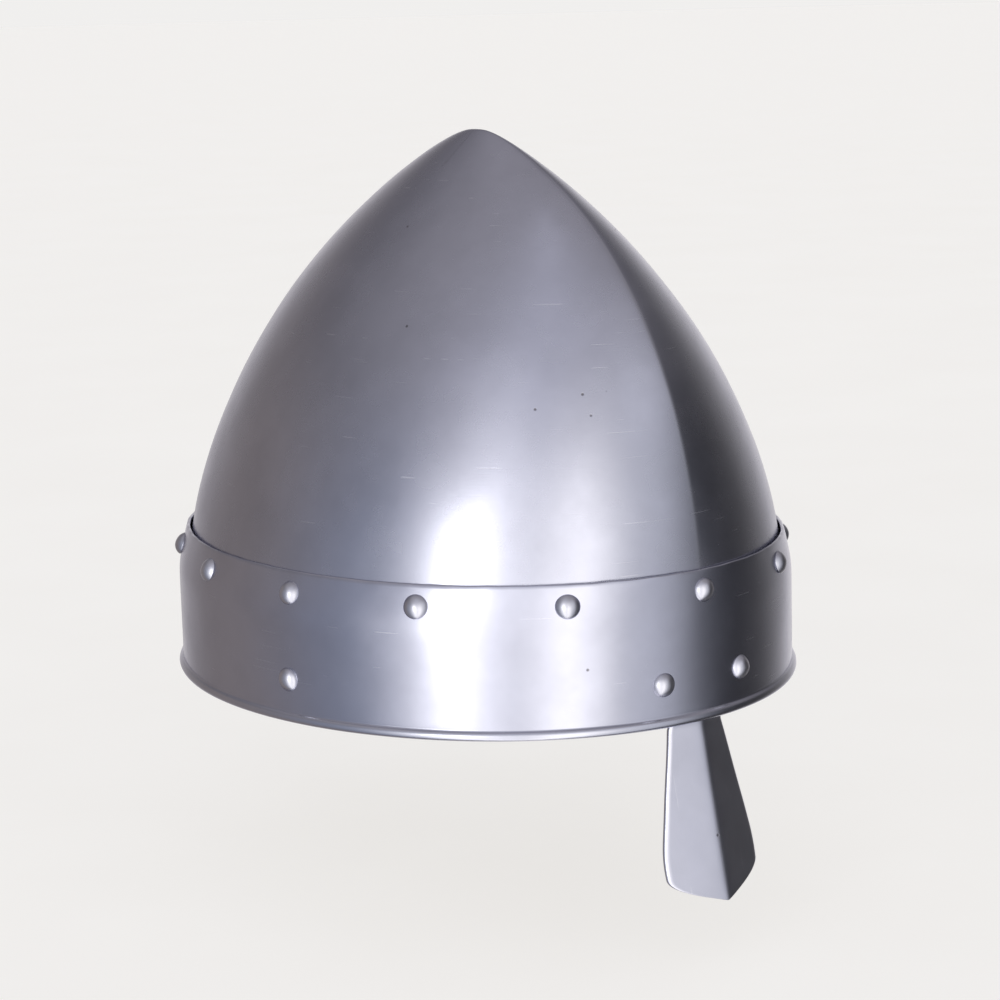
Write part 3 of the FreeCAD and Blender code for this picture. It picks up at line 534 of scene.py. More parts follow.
def nasal_front(x, z):
    """How far forward the guard's outside is: curved to the band above, folded and leaning below."""
    width, length = HALF_WIDTH - 1.35 * MM, HALF_LENGTH - 1.35 * MM
    root = -length * math.sqrt(max(0.0, 1 - (x / width) ** 2))
    slope = math.tan(math.radians(16.5))
    ridge = -length + 1.35 * MM + z * math.tan(math.radians(12.0))
    blunt = 1.3 * MM
    folded = ridge + slope * (math.sqrt(x * x + blunt * blunt) - blunt)
    share = clamp((4.0 * MM - z) / (7 * MM))
    share = share * share * (3 - 2 * share)
    return root * (1 - share) + folded * share


def plate(levels, half_width, front, wall, edge):
    """A sheet with rounded edges: each level is a closed loop, front face first."""
    rows = []
    for z in levels:
        half = half_width(z)
        round_by = min(edge, half)
        flat = [u * (half - round_by) for u in np.linspace(-1, 1, PLATE_ACROSS)]
        loop = [(x, front(x, z), z) for x in flat]
        for a in PLATE_BEND:
            x = half - round_by + round_by * math.sin(a)
            loop.append((x, front(x, z) + wall / 2 * (1 - math.cos(a)), z))
        loop += [(x, front(x, z) + wall, z) for x in flat[::-1]]
        for a in PLATE_BEND:
            x = -half + round_by - round_by * math.sin(a)
            loop.append((x, front(x, z) + wall / 2 * (1 + math.cos(a)), z))
        rows.append(loop)
    grid = np.array(rows)
    return grid.reshape(-1, 3), capped_faces(*grid.shape[:2])


def make_nasal():
    """The blade and the root plate behind the band, painted lighter along the fold and the edges, partly as
    worn steel and partly as a painted highlight.
    """
    tip = NASAL_TIP + 0.25 * MM
    fine = np.linspace(0, 1, 30) ** 1.6 * 9 * MM + tip
    levels = [*fine, *np.linspace(tip + 10 * MM, 20 * MM, 60)]
    blade = plate(levels, nasal_half_width, nasal_front, NASAL_WALL, 0.8 * MM)
    root_levels = np.linspace(4.6 * MM, 21.5 * MM, 24)

    def root_half(z):
        middle, half, reach = 13.05 * MM, 8.45 * MM, 27 * MM
        corner = 5 * MM
        over = max(0.0, abs(z - middle) - (half - corner))
        return reach - corner + math.sqrt(max(0.0, corner * corner - over * over))

    def root_front(x, z):
        width, length = HALF_WIDTH - 1.37 * MM, HALF_LENGTH - 1.37 * MM
        return -length * math.sqrt(1 - (x / width) ** 2)

    root = plate(root_levels, root_half, root_front, NASAL_WALL + 0.1 * MM, 0.7 * MM)
    points, faces = merged([blade, root])
    for p in points:
        if p[2] < 0:
            p[1] += 0.22 * MM * waves(p, 16 * MM, 12) * min(1, -p[2] / (6 * MM))
    uvs = np.stack([points[:, 2], points[:, 0]], -1)
    # Painted highlight: the edges and the fold are painted lighter, partly as worn steel.
    wear_and_highlight = np.zeros(len(points))
    bend = len(PLATE_BEND)
    ring = 2 * (PLATE_ACROSS + bend)
    for first in range(0, ring * len(levels), ring):
        for edge in (first + PLATE_ACROSS, first + ring - bend):
            wear_and_highlight[edge : edge + bend] = 0.55
        wear_and_highlight[first + PLATE_ACROSS // 2] = 0.4
    made = mesh_object("nasal_plate", points, faces, uvs, wear_and_highlight)
    finish_piece(made, "shell", NASAL_STEEL, "nasal_steel", "nasal_guard")


# ---- rivets
def rivet_profile(reach):
    """A rivet's outline from the crown of its head to its peened tail: (radius, height)."""
    outline = []
    ball = (HEAD_RADIUS**2 + HEAD_HEIGHT**2) / (2 * HEAD_HEIGHT)
    widest = math.asin(HEAD_RADIUS / ball)
    for share in np.linspace(0, 1, 15):
        a = widest * share
        outline.append((ball * math.sin(a), ball * math.cos(a) + HEAD_HEIGHT - ball))
    outline += [(HEAD_RADIUS + 0.02 * MM, -0.12 * MM), (HEAD_RADIUS - 0.25 * MM, -0.28 * MM)]
    outline.append((2 * MM, -0.28 * MM))
    outline += [(2 * MM, -reach), (2.85 * MM, -reach - 0.05 * MM), (2.9 * MM, -reach - 0.45 * MM)]
    outline += [(2.3 * MM, -reach - 0.9 * MM), (1.2 * MM, -reach - 1.1 * MM), (0.0, -reach - 1.15 * MM)]
    return outline


def lathe(outline, turns=40):
    """An outline turned round the z axis."""
    points = []
    for radius, height in outline:
        for j in range(turns):
            a = 2 * math.pi * j / turns
            points.append((radius * math.cos(a), radius * math.sin(a), height))
    return np.array(points), [f[::-1] for f in grid_faces(len(outline), turns, around=True)]


def make_rivets(name, places, reaches, node):
    """A row of rivets as one piece; each head is struck a little differently."""
    parts, uvs, wear_and_highlight = [], [], []
    for k, ((point, outward), reach) in enumerate(zip(places, reaches)):
        points, faces = lathe(rivet_profile(reach))
        seat = outward.to_track_quat("Z", "Y").to_matrix()
        swell = random.uniform(0.97, 1.03)
        flat = random.uniform(0.90, 1.06)
        lean_x, lean_y = random.uniform(-0.05, 0.05), random.uniform(-0.05, 0.05)
        moved = []
        for p in points:
            q = Vector(p)
            if q.z > -0.3 * MM:
                q.x *= swell
                q.y *= swell
                q.z *= flat if q.z > 0 else 1.0
                dent = 0.10 * MM * waves(q + Vector((k, 0, 0)) * 0.02, 2.6 * MM, k * 3.1)
                q.z += (lean_x * q.x + lean_y * q.y) * (q.z > 0) + dent * (q.z > 0.3 * MM)
            moved.append(seat @ q + point)
        parts.append((np.array(moved), faces))
        uvs += [(p[0] + k * 0.03, p[1]) for p in points]
        # Painted highlight: each head is painted lighter towards its crown, partly as worn steel.
        wear_and_highlight += [0.5 * max(0.0, p[2] / HEAD_HEIGHT) for p in points]
    made = mesh_object(name, *merged(parts), uvs, wear_and_highlight)
    finish_piece(made, "shell", RIVET_STEEL, "rivet_steel", node)


def tail_reach(node, point, outward, radius=6 * MM):
    """How far below its head's seat the CAD rivet at a place reaches, without its tail."""
    depth = 0.0
    for vertex in frame["nodes"][node].data.vertices:
        away = vertex.co - point
        down = -away.dot(outward)
        if (away + outward * down).length < radius and down > depth:
            depth = down
    return depth - 1.1 * MM


def make_all_rivets():
    """Fourteen round the brow, two for the nasal guard and one for each end of the chin strap."""
    pitch = band_place(0, BROW_ROW)[2] / RIVETS
    brow = [band_place(pitch * i, BROW_ROW)[:2] for i in range(RIVETS)]
    make_rivets("brow_rivet_row", brow, [tail_reach("brow_rivets", *place) for place in brow], "brow_rivets")
    nasal = [band_place(side * 16.5 * MM, LOW_ROW)[:2] for side in (-1, 1)]
    make_rivets("nasal_rivet_pair", nasal, [tail_reach("nasal_rivets", *p) for p in nasal], "nasal_rivets")
    arc = band_place(0, LOW_ROW)[2] * 3 / RIVETS
    strap = [band_place(side * arc, LOW_ROW)[:2] for side in (-1, 1)]
    make_rivets("strap_rivet_pair", strap, [2.0 * MM] * 2, "strap_rivets")


# ---- leather
def leather_sheet(name, along, across, outline, place, thickness, edge=0.45 * MM, spread=lambda s: 1.0):
    """A leather sheet cut to an outline, with burnished, rounded edges.

    along and across are the grid's places: s in metres, and t in units of spread(s) metres. outline(s, t)
    is below 0 where there is leather and grows outward, in metres, and place(s, t) is a point of the
    sheet's middle.
    """
    count, columns = len(along), len(across)
    flat = np.array([[(s, t) for t in across] for s in along])
    middles = (flat[:-1, :-1] + flat[1:, 1:]) / 2
    kept = np.array([[outline(*m) < 0 for m in row] for row in middles])
    faces = [f for f, keep in zip(grid_faces(count, columns), kept.reshape(-1)) if keep]
    around = np.zeros((count + 1, columns + 1), dtype=int)
    around[1:-1, 1:-1] = kept
    touched = around[:-1, :-1] + around[1:, :-1] + around[:-1, 1:] + around[1:, 1:]
    step = 0.02 * MM
    wear_and_highlight = np.zeros((count, columns))
    for i, j in zip(*np.nonzero((touched > 0) & (touched < 4))):
        for _ in range(3):
            s, t = flat[i, j]
            unit = spread(s)
            here = outline(s, t)
            slope = np.array([outline(s + step, t) - here, outline(s, t + step / unit) - here]) / step
            move = slope * here / max(slope @ slope, 0.3)
            cell = 0.8 * np.array([along[1] - along[0], (across[1] - across[0]) * unit])
            flat[i, j] -= np.clip(move, -cell, cell) / (1.0, unit)
        wear_and_highlight[i, j] = 1.0
    used = sorted({k for face in faces for k in face})
    number = {k: n for n, k in enumerate(used)}
    cut = flat.reshape(-1, 2)
    points = [place(*cut[k]) for k in used]
    faces = [tuple(number[k] for k in face) for face in faces]
    made = mesh_object(name, points, faces, [cut[k] for k in used], wear_and_highlight.reshape(-1)[used])
    thick = made.modifiers.new("thickness", "SOLIDIFY")
    thick.thickness = thickness
    thick.offset = 0
    rounded = made.modifiers.new("edges", "BEVEL")
    rounded.width = edge
    rounded.segments = 3
    rounded.limit_method = "ANGLE"
    rounded.angle_limit = math.radians(50)
    return with_modifiers_applied(made)


def with_modifiers_applied(piece):
    """The same piece, its modifiers turned into mesh."""
    graph = bpy.context.evaluated_depsgraph_get()
    final = bpy.data.meshes.new_from_object(piece.evaluated_get(graph))
    piece.modifiers.clear()
    piece.data = final
    final.polygons.foreach_set("use_smooth", [True] * len(final.polygons))
    return piece


def rounded_box(s, t, middle, half, corner):
    """Distance outside a rectangle with rounded corners, below 0 inside."""
    beyond = np.abs(np.array([s, t]) - middle) - (np.array(half) - corner)
    return np.hypot(*np.maximum(beyond, 0)) + min(np.max(beyond), 0.0) - corner


def round_hole(s, t, middle, radius):
    """Distance inside a round hole, below 0 outside it."""
    return radius - math.hypot(s - middle[0], t - middle[1])


def along_curve(points, spacing):
    """Points at an even spacing along a polyline, with their distances along it."""
    points = np.asarray(points)
    run = run_along(points)
    places = np.linspace(0, run[-1], max(2, int(run[-1] / spacing)))
    return np.stack([np.interp(places, run, points[:, k]) for k in range(3)], -1), places


def coordinates_at(s, run, line, axes):
    """Some of the coordinates of the point that lies s along a line."""
    return [float(np.interp(s, run, line[:, k])) for k in axes]


def tube(points, radius, sides=10, squash=1.0, level=(0, 0, 1)):
    """A round or flattened tube along a line of points, with closed ends."""
    points = np.asarray(points, dtype=float)
    ways = np.gradient(points, axis=0)
    ways /= np.linalg.norm(ways, axis=1)[:, None]
    up = Vector(level)
    rings = []
    for k, (point, way) in enumerate(zip(points, ways)):
        side = Vector(way).cross(up)
        side = side.normalized() if side.length > 1e-6 else Vector((1, 0, 0))
        rise = side.cross(Vector(way)).normalized()
        share = (0.35, 0.8, 1.0)[min(k, len(points) - 1 - k, 2)]
        for turn in range(sides):
            a = 2 * math.pi * turn / sides
            offset = side * math.cos(a) * radius * share + rise * math.sin(a) * radius * squash * share
            rings.append(Vector(point) + offset)
    return np.array(rings), capped_faces(len(points), sides)


# ---- liner
TONGUE_ROOT = 46.7 * MM
TONGUE_CROWN = 128 * MM
TONGUE_SLOT = 3.2 * MM
HEADBAND_LOW = 30 * MM
HEADBAND_TOP = 46.5 * MM
HEADBAND_GIRTH = 0.62
CROWN_HOLE = 18.5 * MM
LACE_RING = 22 * MM
LACE_RADIUS = 1.3 * MM
LACE_HOLE_AZIMUTH = 0.155
# The thong's way up to a tongue's middle: azimuth from the first hole, and lift off the leather in mm.
LACE_WEAVE = [(-0.10, -2.3), (-0.035, -1.3), (0.02, 1.0), (0.07, 2.25)]


def lens_reach(azimuth, width, length, crease):
    """Distance from the middle to a lens's outline, azimuth radians round from the front."""
    full = width * (1 + crease)
    long = length / math.sqrt(1 - (crease / (1 + crease)) ** 2)
    s, c = abs(math.sin(azimuth)), math.cos(azimuth)
    a = (s / full) ** 2 + (c / long) ** 2
    b = 2 * s * width * crease / full**2
    d = (width * crease / full) ** 2 - 1
    return (-b + math.sqrt(b * b - 4 * a * d)) / (2 * a)


def headband_point(azimuth, z, inset):
    """A point of the headband, inset from the skull's inner face."""
    width, length = hoop(z, inset + BAND_WALL + SKULL_WALL + LINER_GAP)
    reach = lens_reach(azimuth, width - GAP_SIDE, length - GAP_FRONT, ROOT_CREASE)
    return Vector((reach * math.sin(azimuth), -reach * math.cos(azimuth), z))


def make_headband():
    """The sweatband, its ends butted at the back, with the rivets' washers over it."""
    girth = HEADBAND_GIRTH
    along = np.linspace(-girth / 2, girth / 2, 420)
    across = np.linspace(HEADBAND_LOW - 1 * MM, HEADBAND_TOP + 1 * MM, 24)
    seam = 0.35 * MM

    def outline(s, z):
        edge = 0.25 * MM * waves((s * 3, z * 0.2, 0), 30 * MM, 61)
        middle = (HEADBAND_LOW + HEADBAND_TOP) / 2 + 0.1 * MM
        half = (HEADBAND_TOP - HEADBAND_LOW) / 2 - 0.25 * MM
        return rounded_box(s, z + edge, (0, middle), (girth / 2 - seam, half), 1.2 * MM)

    def place(s, z):
        azimuth = 2 * math.pi * s / girth
        wave = 0.12 * MM * waves((math.cos(azimuth) * 0.1, math.sin(azimuth) * 0.1, z), 22 * MM, 71)
        return headband_point(azimuth, z, LEATHER / 2 + wave)

    made = leather_sheet("headband_leather", along, across, outline, place, LEATHER - 0.25 * MM)
    finish_piece(made, "shell", LINER_LEATHER, "liner_leather", "liner_headband")


def cap_point(azimuth, z, inset):
    """A point of the laced cap, inset from its outer face."""
    share = (z - TONGUE_ROOT) / (TONGUE_CROWN - inset - TONGUE_ROOT)
    spread = (1 - max(share, 0.0) ** 1.6) ** 0.85
    width, length = hoop(BAND_HEIGHT, BAND_WALL + SKULL_WALL + LINER_GAP + inset)
    crease = (ROOT_CREASE + CREASE * rise(z) ** 2) / 2
    reach = lens_reach(azimuth, (width - GAP_SIDE) * spread, (length - GAP_FRONT) * spread, crease)
    return Vector((reach * math.sin(azimuth), -reach * math.cos(azimuth), z))


def cap_level(reach, azimuth):
    """The height at which the cap's middle is that far from the axis."""
    low, high = TONGUE_ROOT, TONGUE_CROWN - 1.2 * MM
    for _ in range(40):
        middle = (low + high) / 2
        point = cap_point(azimuth, middle, TONGUE_LEATHER / 2)
        if math.hypot(point.x, point.y) > reach:
            low = middle
        else:
            high = middle
    return low


def tongue_holes(index):
    """The two lace holes near a tongue's tip, as azimuths."""
    middle = 2 * math.pi * (index + 0.5) / TONGUES
    return middle - LACE_HOLE_AZIMUTH, middle + LACE_HOLE_AZIMUTH


def make_tongue(index):
    """One tongue: it narrows to a rounded tip with two lace holes."""
    middle = 2 * math.pi * (index + 0.5) / TONGUES
    top = cap_level(CROWN_HOLE + 0.4 * MM, middle)
    line = [cap_point(middle, z, TONGUE_LEATHER / 2) for z in np.linspace(TONGUE_ROOT + 0.15 * MM, top, 160)]
    run = np.concatenate([[0], np.cumsum([(b - a).length for a, b in zip(line, line[1:])])])
    levels = np.array([p.z for p in line])
    reach = np.array([math.hypot(p.x, p.y) for p in line])
    length = run[-1]
    hole_run = float(np.interp(-LACE_RING, -reach, run))
    hole_across = LACE_RING * LACE_HOLE_AZIMUTH
    along = np.linspace(-0.5 * MM, length + 0.5 * MM, 104)
    across = np.linspace(-1.04, 1.04, 44)

    def half_width(s):
        room = float(np.interp(s, run, reach)) * math.pi / TONGUES
        return room - TONGUE_SLOT / 2 - 0.15 * MM

    def outline(s, t):
        half = half_width(s)
        tip = 5.0 * MM
        over = max(0.0, s - (length - tip))
        half -= tip - math.sqrt(max(0.0, tip * tip - min(over, tip) ** 2)) if over else 0.0
        edge = 0.3 * MM * waves((s, index * 0.3, t), 26 * MM, 81)
        x = t * half_width(s)
        width = abs(x) - half + edge
        ends = max(-s, s - length)
        holes = max(round_hole(s, x, (hole_run, side * hole_across), 1.7 * MM) for side in (-1, 1))
        return max(width, ends, holes)

    def place(s, t):
        z = float(np.interp(s, run, levels))
        here = float(np.interp(s, run, reach))
        azimuth = middle + t * half_width(s) / here
        bulge = 0.35 * MM * waves((t * 0.04, s, index * 0.2), 30 * MM, 91)
        return cap_point(azimuth, z, TONGUE_LEATHER / 2 + bulge * 0.6)

    name = f"tongue_{index + 1}_leather"
    thickness = TONGUE_LEATHER - 0.25 * MM
    made = leather_sheet(name, along, across, outline, place, thickness, spread=half_width)
    finish_piece(made, "shell", LINER_LEATHER, "liner_leather", f"liner_tongue_{index + 1}")


def make_seam():
    """Slanting stitches of waxed thread across the joint between headband and tongues."""
    parts = []
    count = 118
    for k in range(count):
        azimuth = 2 * math.pi * (k + 0.5) / count
        slant = random.uniform(0.9, 1.2) * 0.022
        gap = (azimuth * TONGUES / (2 * math.pi)) % 1
        if min(gap, 1 - gap) < 0.03:
            continue
        low = headband_point(azimuth - slant, HEADBAND_TOP - 3.4 * MM, LEATHER - 0.5 * MM)
        top = cap_point(azimuth + slant, TONGUE_ROOT + 3.2 * MM, TONGUE_LEATHER - 0.5 * MM)
        inward = Vector((-math.sin(azimuth), math.cos(azimuth), 0))
        route = []
        for share in np.linspace(0, 1, 11):
            lift = 0.75 * MM * math.sin(math.pi * share) ** 0.5
            route.append(low.lerp(top, share) + inward * lift)
        parts.append(tube(route, 0.42 * MM, 7, level=inward))
    made = mesh_object("liner_seam_thread", *merged(parts))
    finish_piece(made, "shell", LINEN, "liner_leather")


def make_lace():
    """A leather thong through the tongues' holes: over each tip, under each gap, knotted at the back."""
    route = []
    for index in range(TONGUES):
        first, last = tongue_holes(index)
        way_in = [(first + turn, lift) for turn, lift in LACE_WEAVE]
        way_out = [(last - turn, lift) for turn, lift in reversed(LACE_WEAVE)]
        for azimuth, lift in [*way_in, ((first + last) / 2, 2.45), *way_out]:
            z = cap_level(LACE_RING, azimuth)
            height = cap_point(azimuth, z, TONGUE_LEATHER / 2).z + lift * MM * 0.92
            route.append((LACE_RING * math.sin(azimuth), -LACE_RING * math.cos(azimuth), height))
    smooth = smooth_line(route, closed=True)
    parts = [tube(np.concatenate([smooth, smooth[:3]]), LACE_RADIUS, 10, 0.75)]
    base = np.array([0.0, LACE_RING, cap_level(LACE_RING, math.pi) - 3.4 * MM])
    knot = []
    for share in np.linspace(0, 1, 60):
        a = 2 * math.pi * share
        turn = np.array([math.sin(2 * a), 0.7 * math.cos(3 * a), 0.8 * math.sin(3 * a)])
        knot.append(base + 2.3 * MM * turn)
    parts.append(tube(knot, LACE_RADIUS * 0.9, 10, 0.8))
    for side in (-1, 1):
        end = [(1.5, 0, -0.6), (4.0, 1.5, -2.4), (6.5, 1.0, -6.5)]
        end += [(7.5, -1.5, -12.0 - side * 1.5), (6.4, -3.0, -18.0 - side * 3.0)]
        end = [base + MM * np.array([side * x, y, z]) for x, y, z in end]
        parts.append(tube(smooth_line(end), LACE_RADIUS, 10, 0.7, level=(0, 1, 0)))
    made = mesh_object("crown_thong", *merged(parts))
    finish_piece(made, "shell", LACE_LEATHER, "lace_leather", "crown_lace")


def smooth_line(points, closed=False, steps=8):
    """A smooth curve through some points."""
    points = np.asarray(points, dtype=float)
    count = len(points)
    curve = []
    for i in range(count if closed else count - 1):
        places = range(i - 1, i + 3)
        near = [k % count if closed else min(max(k, 0), count - 1) for k in places]
        a, b, c, d = points[near]
        for share in np.arange(steps) / steps:
            curve.append(
                b
                + 0.5 * share * (c - a)
                + share**2 * (a - 2.5 * b + 2 * c - 0.5 * d)
                + share**3 * (1.5 * (b - c) + 0.5 * (d - a))
            )
    if not closed:
        curve.append(points[-1])
    return np.array(curve)


# ---- chin strap
STRAP_WIDTH = 16 * MM
STRAP = 2.4 * MM
LAYER = STRAP + 0.35 * MM
TAB_X = HALF_WIDTH - 7.8 * MM
TAB_END = 8 * MM
STRAP_RISE = 80.5 * MM
TAIL_SHARE = 0.82
# The strap's right-hand half, as shares of TAB_X outward and of STRAP_RISE up.
STRAP_SHARES = [(1.0, 0.03), (0.945, 0.16), (0.875, 0.33), (0.80, 0.52)]
STRAP_SHARES += [(0.665, 0.715), (0.475, 0.885), (0.24, 0.975)]
STRAP_HALF = STRAP_WIDTH / 2 - 0.1 * MM
TAB_HOLE = 2.05 * MM
PUNCHED_HOLE = 1.6 * MM
FOLD_HOLE = 1.25 * MM
KEEPER_X = STRAP_WIDTH * 2.1
PIVOT = Vector(frame["record"]["behaviour"]["joints"][0]["pos_m"])
HINGE_BAR = Vector(frame["record"]["behaviour"]["joints"][1]["pos_m"])


class StrapLine:
    """The strap's middle line: a smooth curve from the right-hand tab over the arch to the left."""

    def __init__(self):
        right = [(-TAB_X * x, STRAP_RISE * up) for x, up in STRAP_SHARES]
        left = [(-x, z) for x, z in reversed(right)]
        knots = np.array([*right, (0.0, STRAP_RISE), *left])
        self.run = run_along(knots)
        self.knots = knots
        steps = np.diff(self.run)
        count = len(knots)
        matrix = np.zeros((count, count))
        goal = np.zeros((count, 2))
        matrix[0, 0] = matrix[-1, -1] = 1
        goal[0], goal[-1] = (0, 1), (0, -1)
        for i in range(1, count - 1):
            h, g = steps[i - 1], steps[i]
            matrix[i, i - 1 : i + 2] = (g, 2 * (h + g), h)
            goal[i] = 3 * (g * (knots[i] - knots[i - 1]) / h + h * (knots[i + 1] - knots[i]) / g)
        self.slopes = np.linalg.solve(matrix, goal)

    def at(self, share, offset=0.0):
        """The point at a share of the line, moved outward from the arch by offset."""
        where = clamp(share) * self.run[-1]
        i = min(int(np.searchsorted(self.run, where, "right")) - 1, len(self.run) - 2)
        h = self.run[i + 1] - self.run[i]
        u = (where - self.run[i]) / h
        a, b = self.knots[i], self.knots[i + 1]
        m, n = self.slopes[i] * h, self.slopes[i + 1] * h
        point = a + u * m + u * u * (3 * (b - a) - 2 * m - n) + u**3 * (2 * (a - b) + m + n)
        way = m + 2 * u * (3 * (b - a) - 2 * m - n) + 3 * u * u * (2 * (a - b) + m + n)
        way /= np.linalg.norm(way)
        x, z = point + offset * np.array([-way[1], way[0]])
        return Vector((x, PIVOT.y, z + PIVOT.z))

    def share_at(self, x):
        """The share of the line at which it passes x."""
        low, high = 0.0, 1.0
        for _ in range(40):
            middle = (low + high) / 2
            low, high = (middle, high) if self.at(middle).x < x else (low, middle)
        return low


LINE = StrapLine()


def short_offset(share):
    """How far the buckle half lies inside the holed half."""
    part = clamp((1.0 - share) / (1.0 - TAIL_SHARE - 0.02))
    return -LAYER * part * part * (3 - 2 * part)


def strap_route(first, last, offset, side):
    """Points down the strap from a tab's end: the flat tab, then the arch between two shares."""
    tab = [Vector((side * TAB_X, PIVOT.y, z)) for z in np.linspace(PIVOT.z - TAB_END, PIVOT.z + 0.5 * MM, 8)]
    arch = [LINE.at(share, offset(share)) for share in np.linspace(first, last, 220)]
    return tab + arch


def strap_sheet(name, route, outline):
    """A strap along a route, whose outline is in metres along and across it."""
    line, run = along_curve([tuple(p) for p in route], 0.85 * MM)
    across = np.linspace(-STRAP_WIDTH / 2 - 0.4 * MM, STRAP_WIDTH / 2 + 0.4 * MM, 22)

    def place(s, t):
        x, z = coordinates_at(s, run, line, (0, 2))
        return Vector((x, PIVOT.y + t, z))

    def cut(s, t):
        return outline(s, t, run[-1])

    return leather_sheet(name, run, across, cut, place, STRAP - 0.2 * MM, 0.5 * MM)


def strap_end(s, t, length):
    """Distance outside a strap's ends: rounded at its rivet, and cut off at the other end."""
    if s >= 10 * MM:
        return s - length
    return rounded_box(s, t, (length / 2, 0), (length / 2 - 0.1 * MM, STRAP_HALF), 6.5 * MM)


def run_at_x(route, x, above):
    """How far along a route it passes x, above a height."""
    line, run = along_curve([tuple(p) for p in route], 0.4 * MM)
    best = min(range(len(run)), key=lambda k: abs(line[k, 0] - x) + (line[k, 2] < above))
    return run[best]


def make_strap_long():
    """The holed half: punched, slotted for the prong, its tail cut to a point."""
    route = strap_route(0.0, TAIL_SHARE, lambda share: 0.0, -1)
    bar = run_at_x(route, HINGE_BAR.x, HINGE_BAR.z)
    punched = []
    first_hole, hole_pitch = 14, 12
    for k in range(5):
        x = HINGE_BAR.x + (first_hole + hole_pitch * k) * MM
        if abs(LINE.share_at(x) - LINE.share_at(KEEPER_X)) > 0.02:
            punched.append(run_at_x(route, x, HINGE_BAR.z - 30 * MM))

    def outline(s, t, length):
        tail = 10 * MM
        over = max(0.0, s - (length - tail)) / tail
        sides = abs(t) - STRAP_HALF * (1 - 0.62 * over**2)
        holes = [round_hole(s, t, (at, 0), PUNCHED_HOLE) for at in punched]
        holes.append(round_hole(s, t, (TAB_END, 0), TAB_HOLE))
        holes.append(-rounded_box(s, t, (bar - 2.6 * MM, 0), (4 * MM, 1.7 * MM), 1.6 * MM))
        return max(sides, strap_end(s, t, length), *holes)

    made = strap_sheet("strap_holed_leather", route, outline)
    finish_piece(made, "chin_strap", STRAP_LEATHER, "strap_leather", "chin_strap_long")


def make_strap_short():
    """The buckle half: under the tail, round the hinge bar and back, riveted."""
    bar_share = LINE.share_at(HINGE_BAR.x)
    route = strap_route(1.0, bar_share, short_offset, 1)
    around = route[-1].z - HINGE_BAR.z
    below = around + 0.1 * MM
    for degrees in range(100, 275, 10):
        a = math.radians(degrees)
        reach = around + (below - around) * (degrees - 90) / 180
        route.append(Vector((HINGE_BAR.x + reach * math.cos(a), PIVOT.y, HINGE_BAR.z + reach * math.sin(a))))
    route += [Vector((HINGE_BAR.x + x * MM, PIVOT.y, HINGE_BAR.z - below)) for x in range(1, 23)]
    bar = run_at_x(route, HINGE_BAR.x, HINGE_BAR.z)

    def outline(s, t, length):
        tail = 6 * MM
        over = max(0.0, s - (length - tail)) / tail
        sides = abs(t) - STRAP_HALF * (1 - 0.35 * over**2)
        slot = -rounded_box(s, t, (bar + 4.5 * MM, 0), (8.8 * MM, 2.2 * MM), 2.1 * MM)
        holes = [round_hole(s, t, (at, 0), FOLD_HOLE) for at in (length - 9 * MM, bar - 13 * MM)]
        holes.append(round_hole(s, t, (TAB_END, 0), TAB_HOLE))
        return max(sides, strap_end(s, t, length), slot, *holes)

    made = strap_sheet("strap_buckle_leather", route, outline)
    finish_piece(made, "chin_strap", STRAP_LEATHER, "strap_leather", "chin_strap_short")
    make_strap_stitches(route, bar)


def make_strap_stitches(route, bar):
    """Two rows of stitches that hold the fold behind the hinge bar."""
    line, run = along_curve([tuple(p) for p in route], 0.4 * MM)
    parts = []
    for side in (-1, 1):
        for k in range(4):
            start = bar - (6.0 + 3.1 * k) * MM
            stitch = []
            for share in np.linspace(0, 1, 8):
                s = start - 2.2 * MM * share
                x, z = coordinates_at(s, run, line, (0, 2))
                drop = STRAP / 2 - 0.35 * MM + 0.5 * MM * math.sin(math.pi * share) ** 0.5
                stitch.append((x, PIVOT.y + side * 5.6 * MM, z - drop))
            parts.append(tube(stitch, 0.35 * MM, 7, level=(0, 0, 1)))
    made = mesh_object("strap_fold_thread", *merged(parts))
    finish_piece(made, "chin_strap", LINEN, "strap_leather")


def make_keeper():
    """A loop of thin leather round both halves, its ends butted underneath."""
    share = LINE.share_at(KEEPER_X)
    middle = LINE.at(share, -LAYER / 2)
    way = (LINE.at(share + 0.01) - LINE.at(share - 0.01)).normalized()
    outward = Vector((-way.z, 0, way.x))
    wall = 1.6 * MM
    tall = LAYER / 2 + STRAP / 2 + 0.35 * MM + wall / 2
    wide = STRAP_WIDTH / 2 + 0.35 * MM + wall / 2
    corner = 1.2 * MM
    flat_y, flat_z = wide - corner, tall - corner
    ring = []
    for quarter, (y, z) in enumerate(((1, 1), (-1, 1), (-1, -1), (1, -1))):
        for degrees in range(0, 91, 15):
            a = math.radians(degrees + 90 * quarter)
            ring.append((0.0, y * flat_y + corner * math.cos(a), z * flat_z + corner * math.sin(a)))
    ring.append(ring[0])
    line, run = along_curve([np.array(p) for p in ring], 0.7 * MM)
    start = run[-1] * 0.72
    along = np.linspace(0, run[-1], 90)
    across = np.linspace(-4.9 * MM, 4.9 * MM, 16)

    def outline(s, t):
        return rounded_box(s, t, (run[-1] / 2, 0), (run[-1] / 2 - 0.15 * MM, 4.4 * MM), 0.6 * MM)

    def place(s, t):
        s = (s + start) % run[-1]
        y, z = coordinates_at(s, run, line, (1, 2))
        return middle + way * t + outward * z + Vector((0, y, 0))

    made = leather_sheet("keeper_leather", along, across, outline, place, wall - 0.2 * MM, 0.35 * MM)
    finish_piece(made, "chin_strap", STRAP_LEATHER, "strap_leather", "strap_keeper")


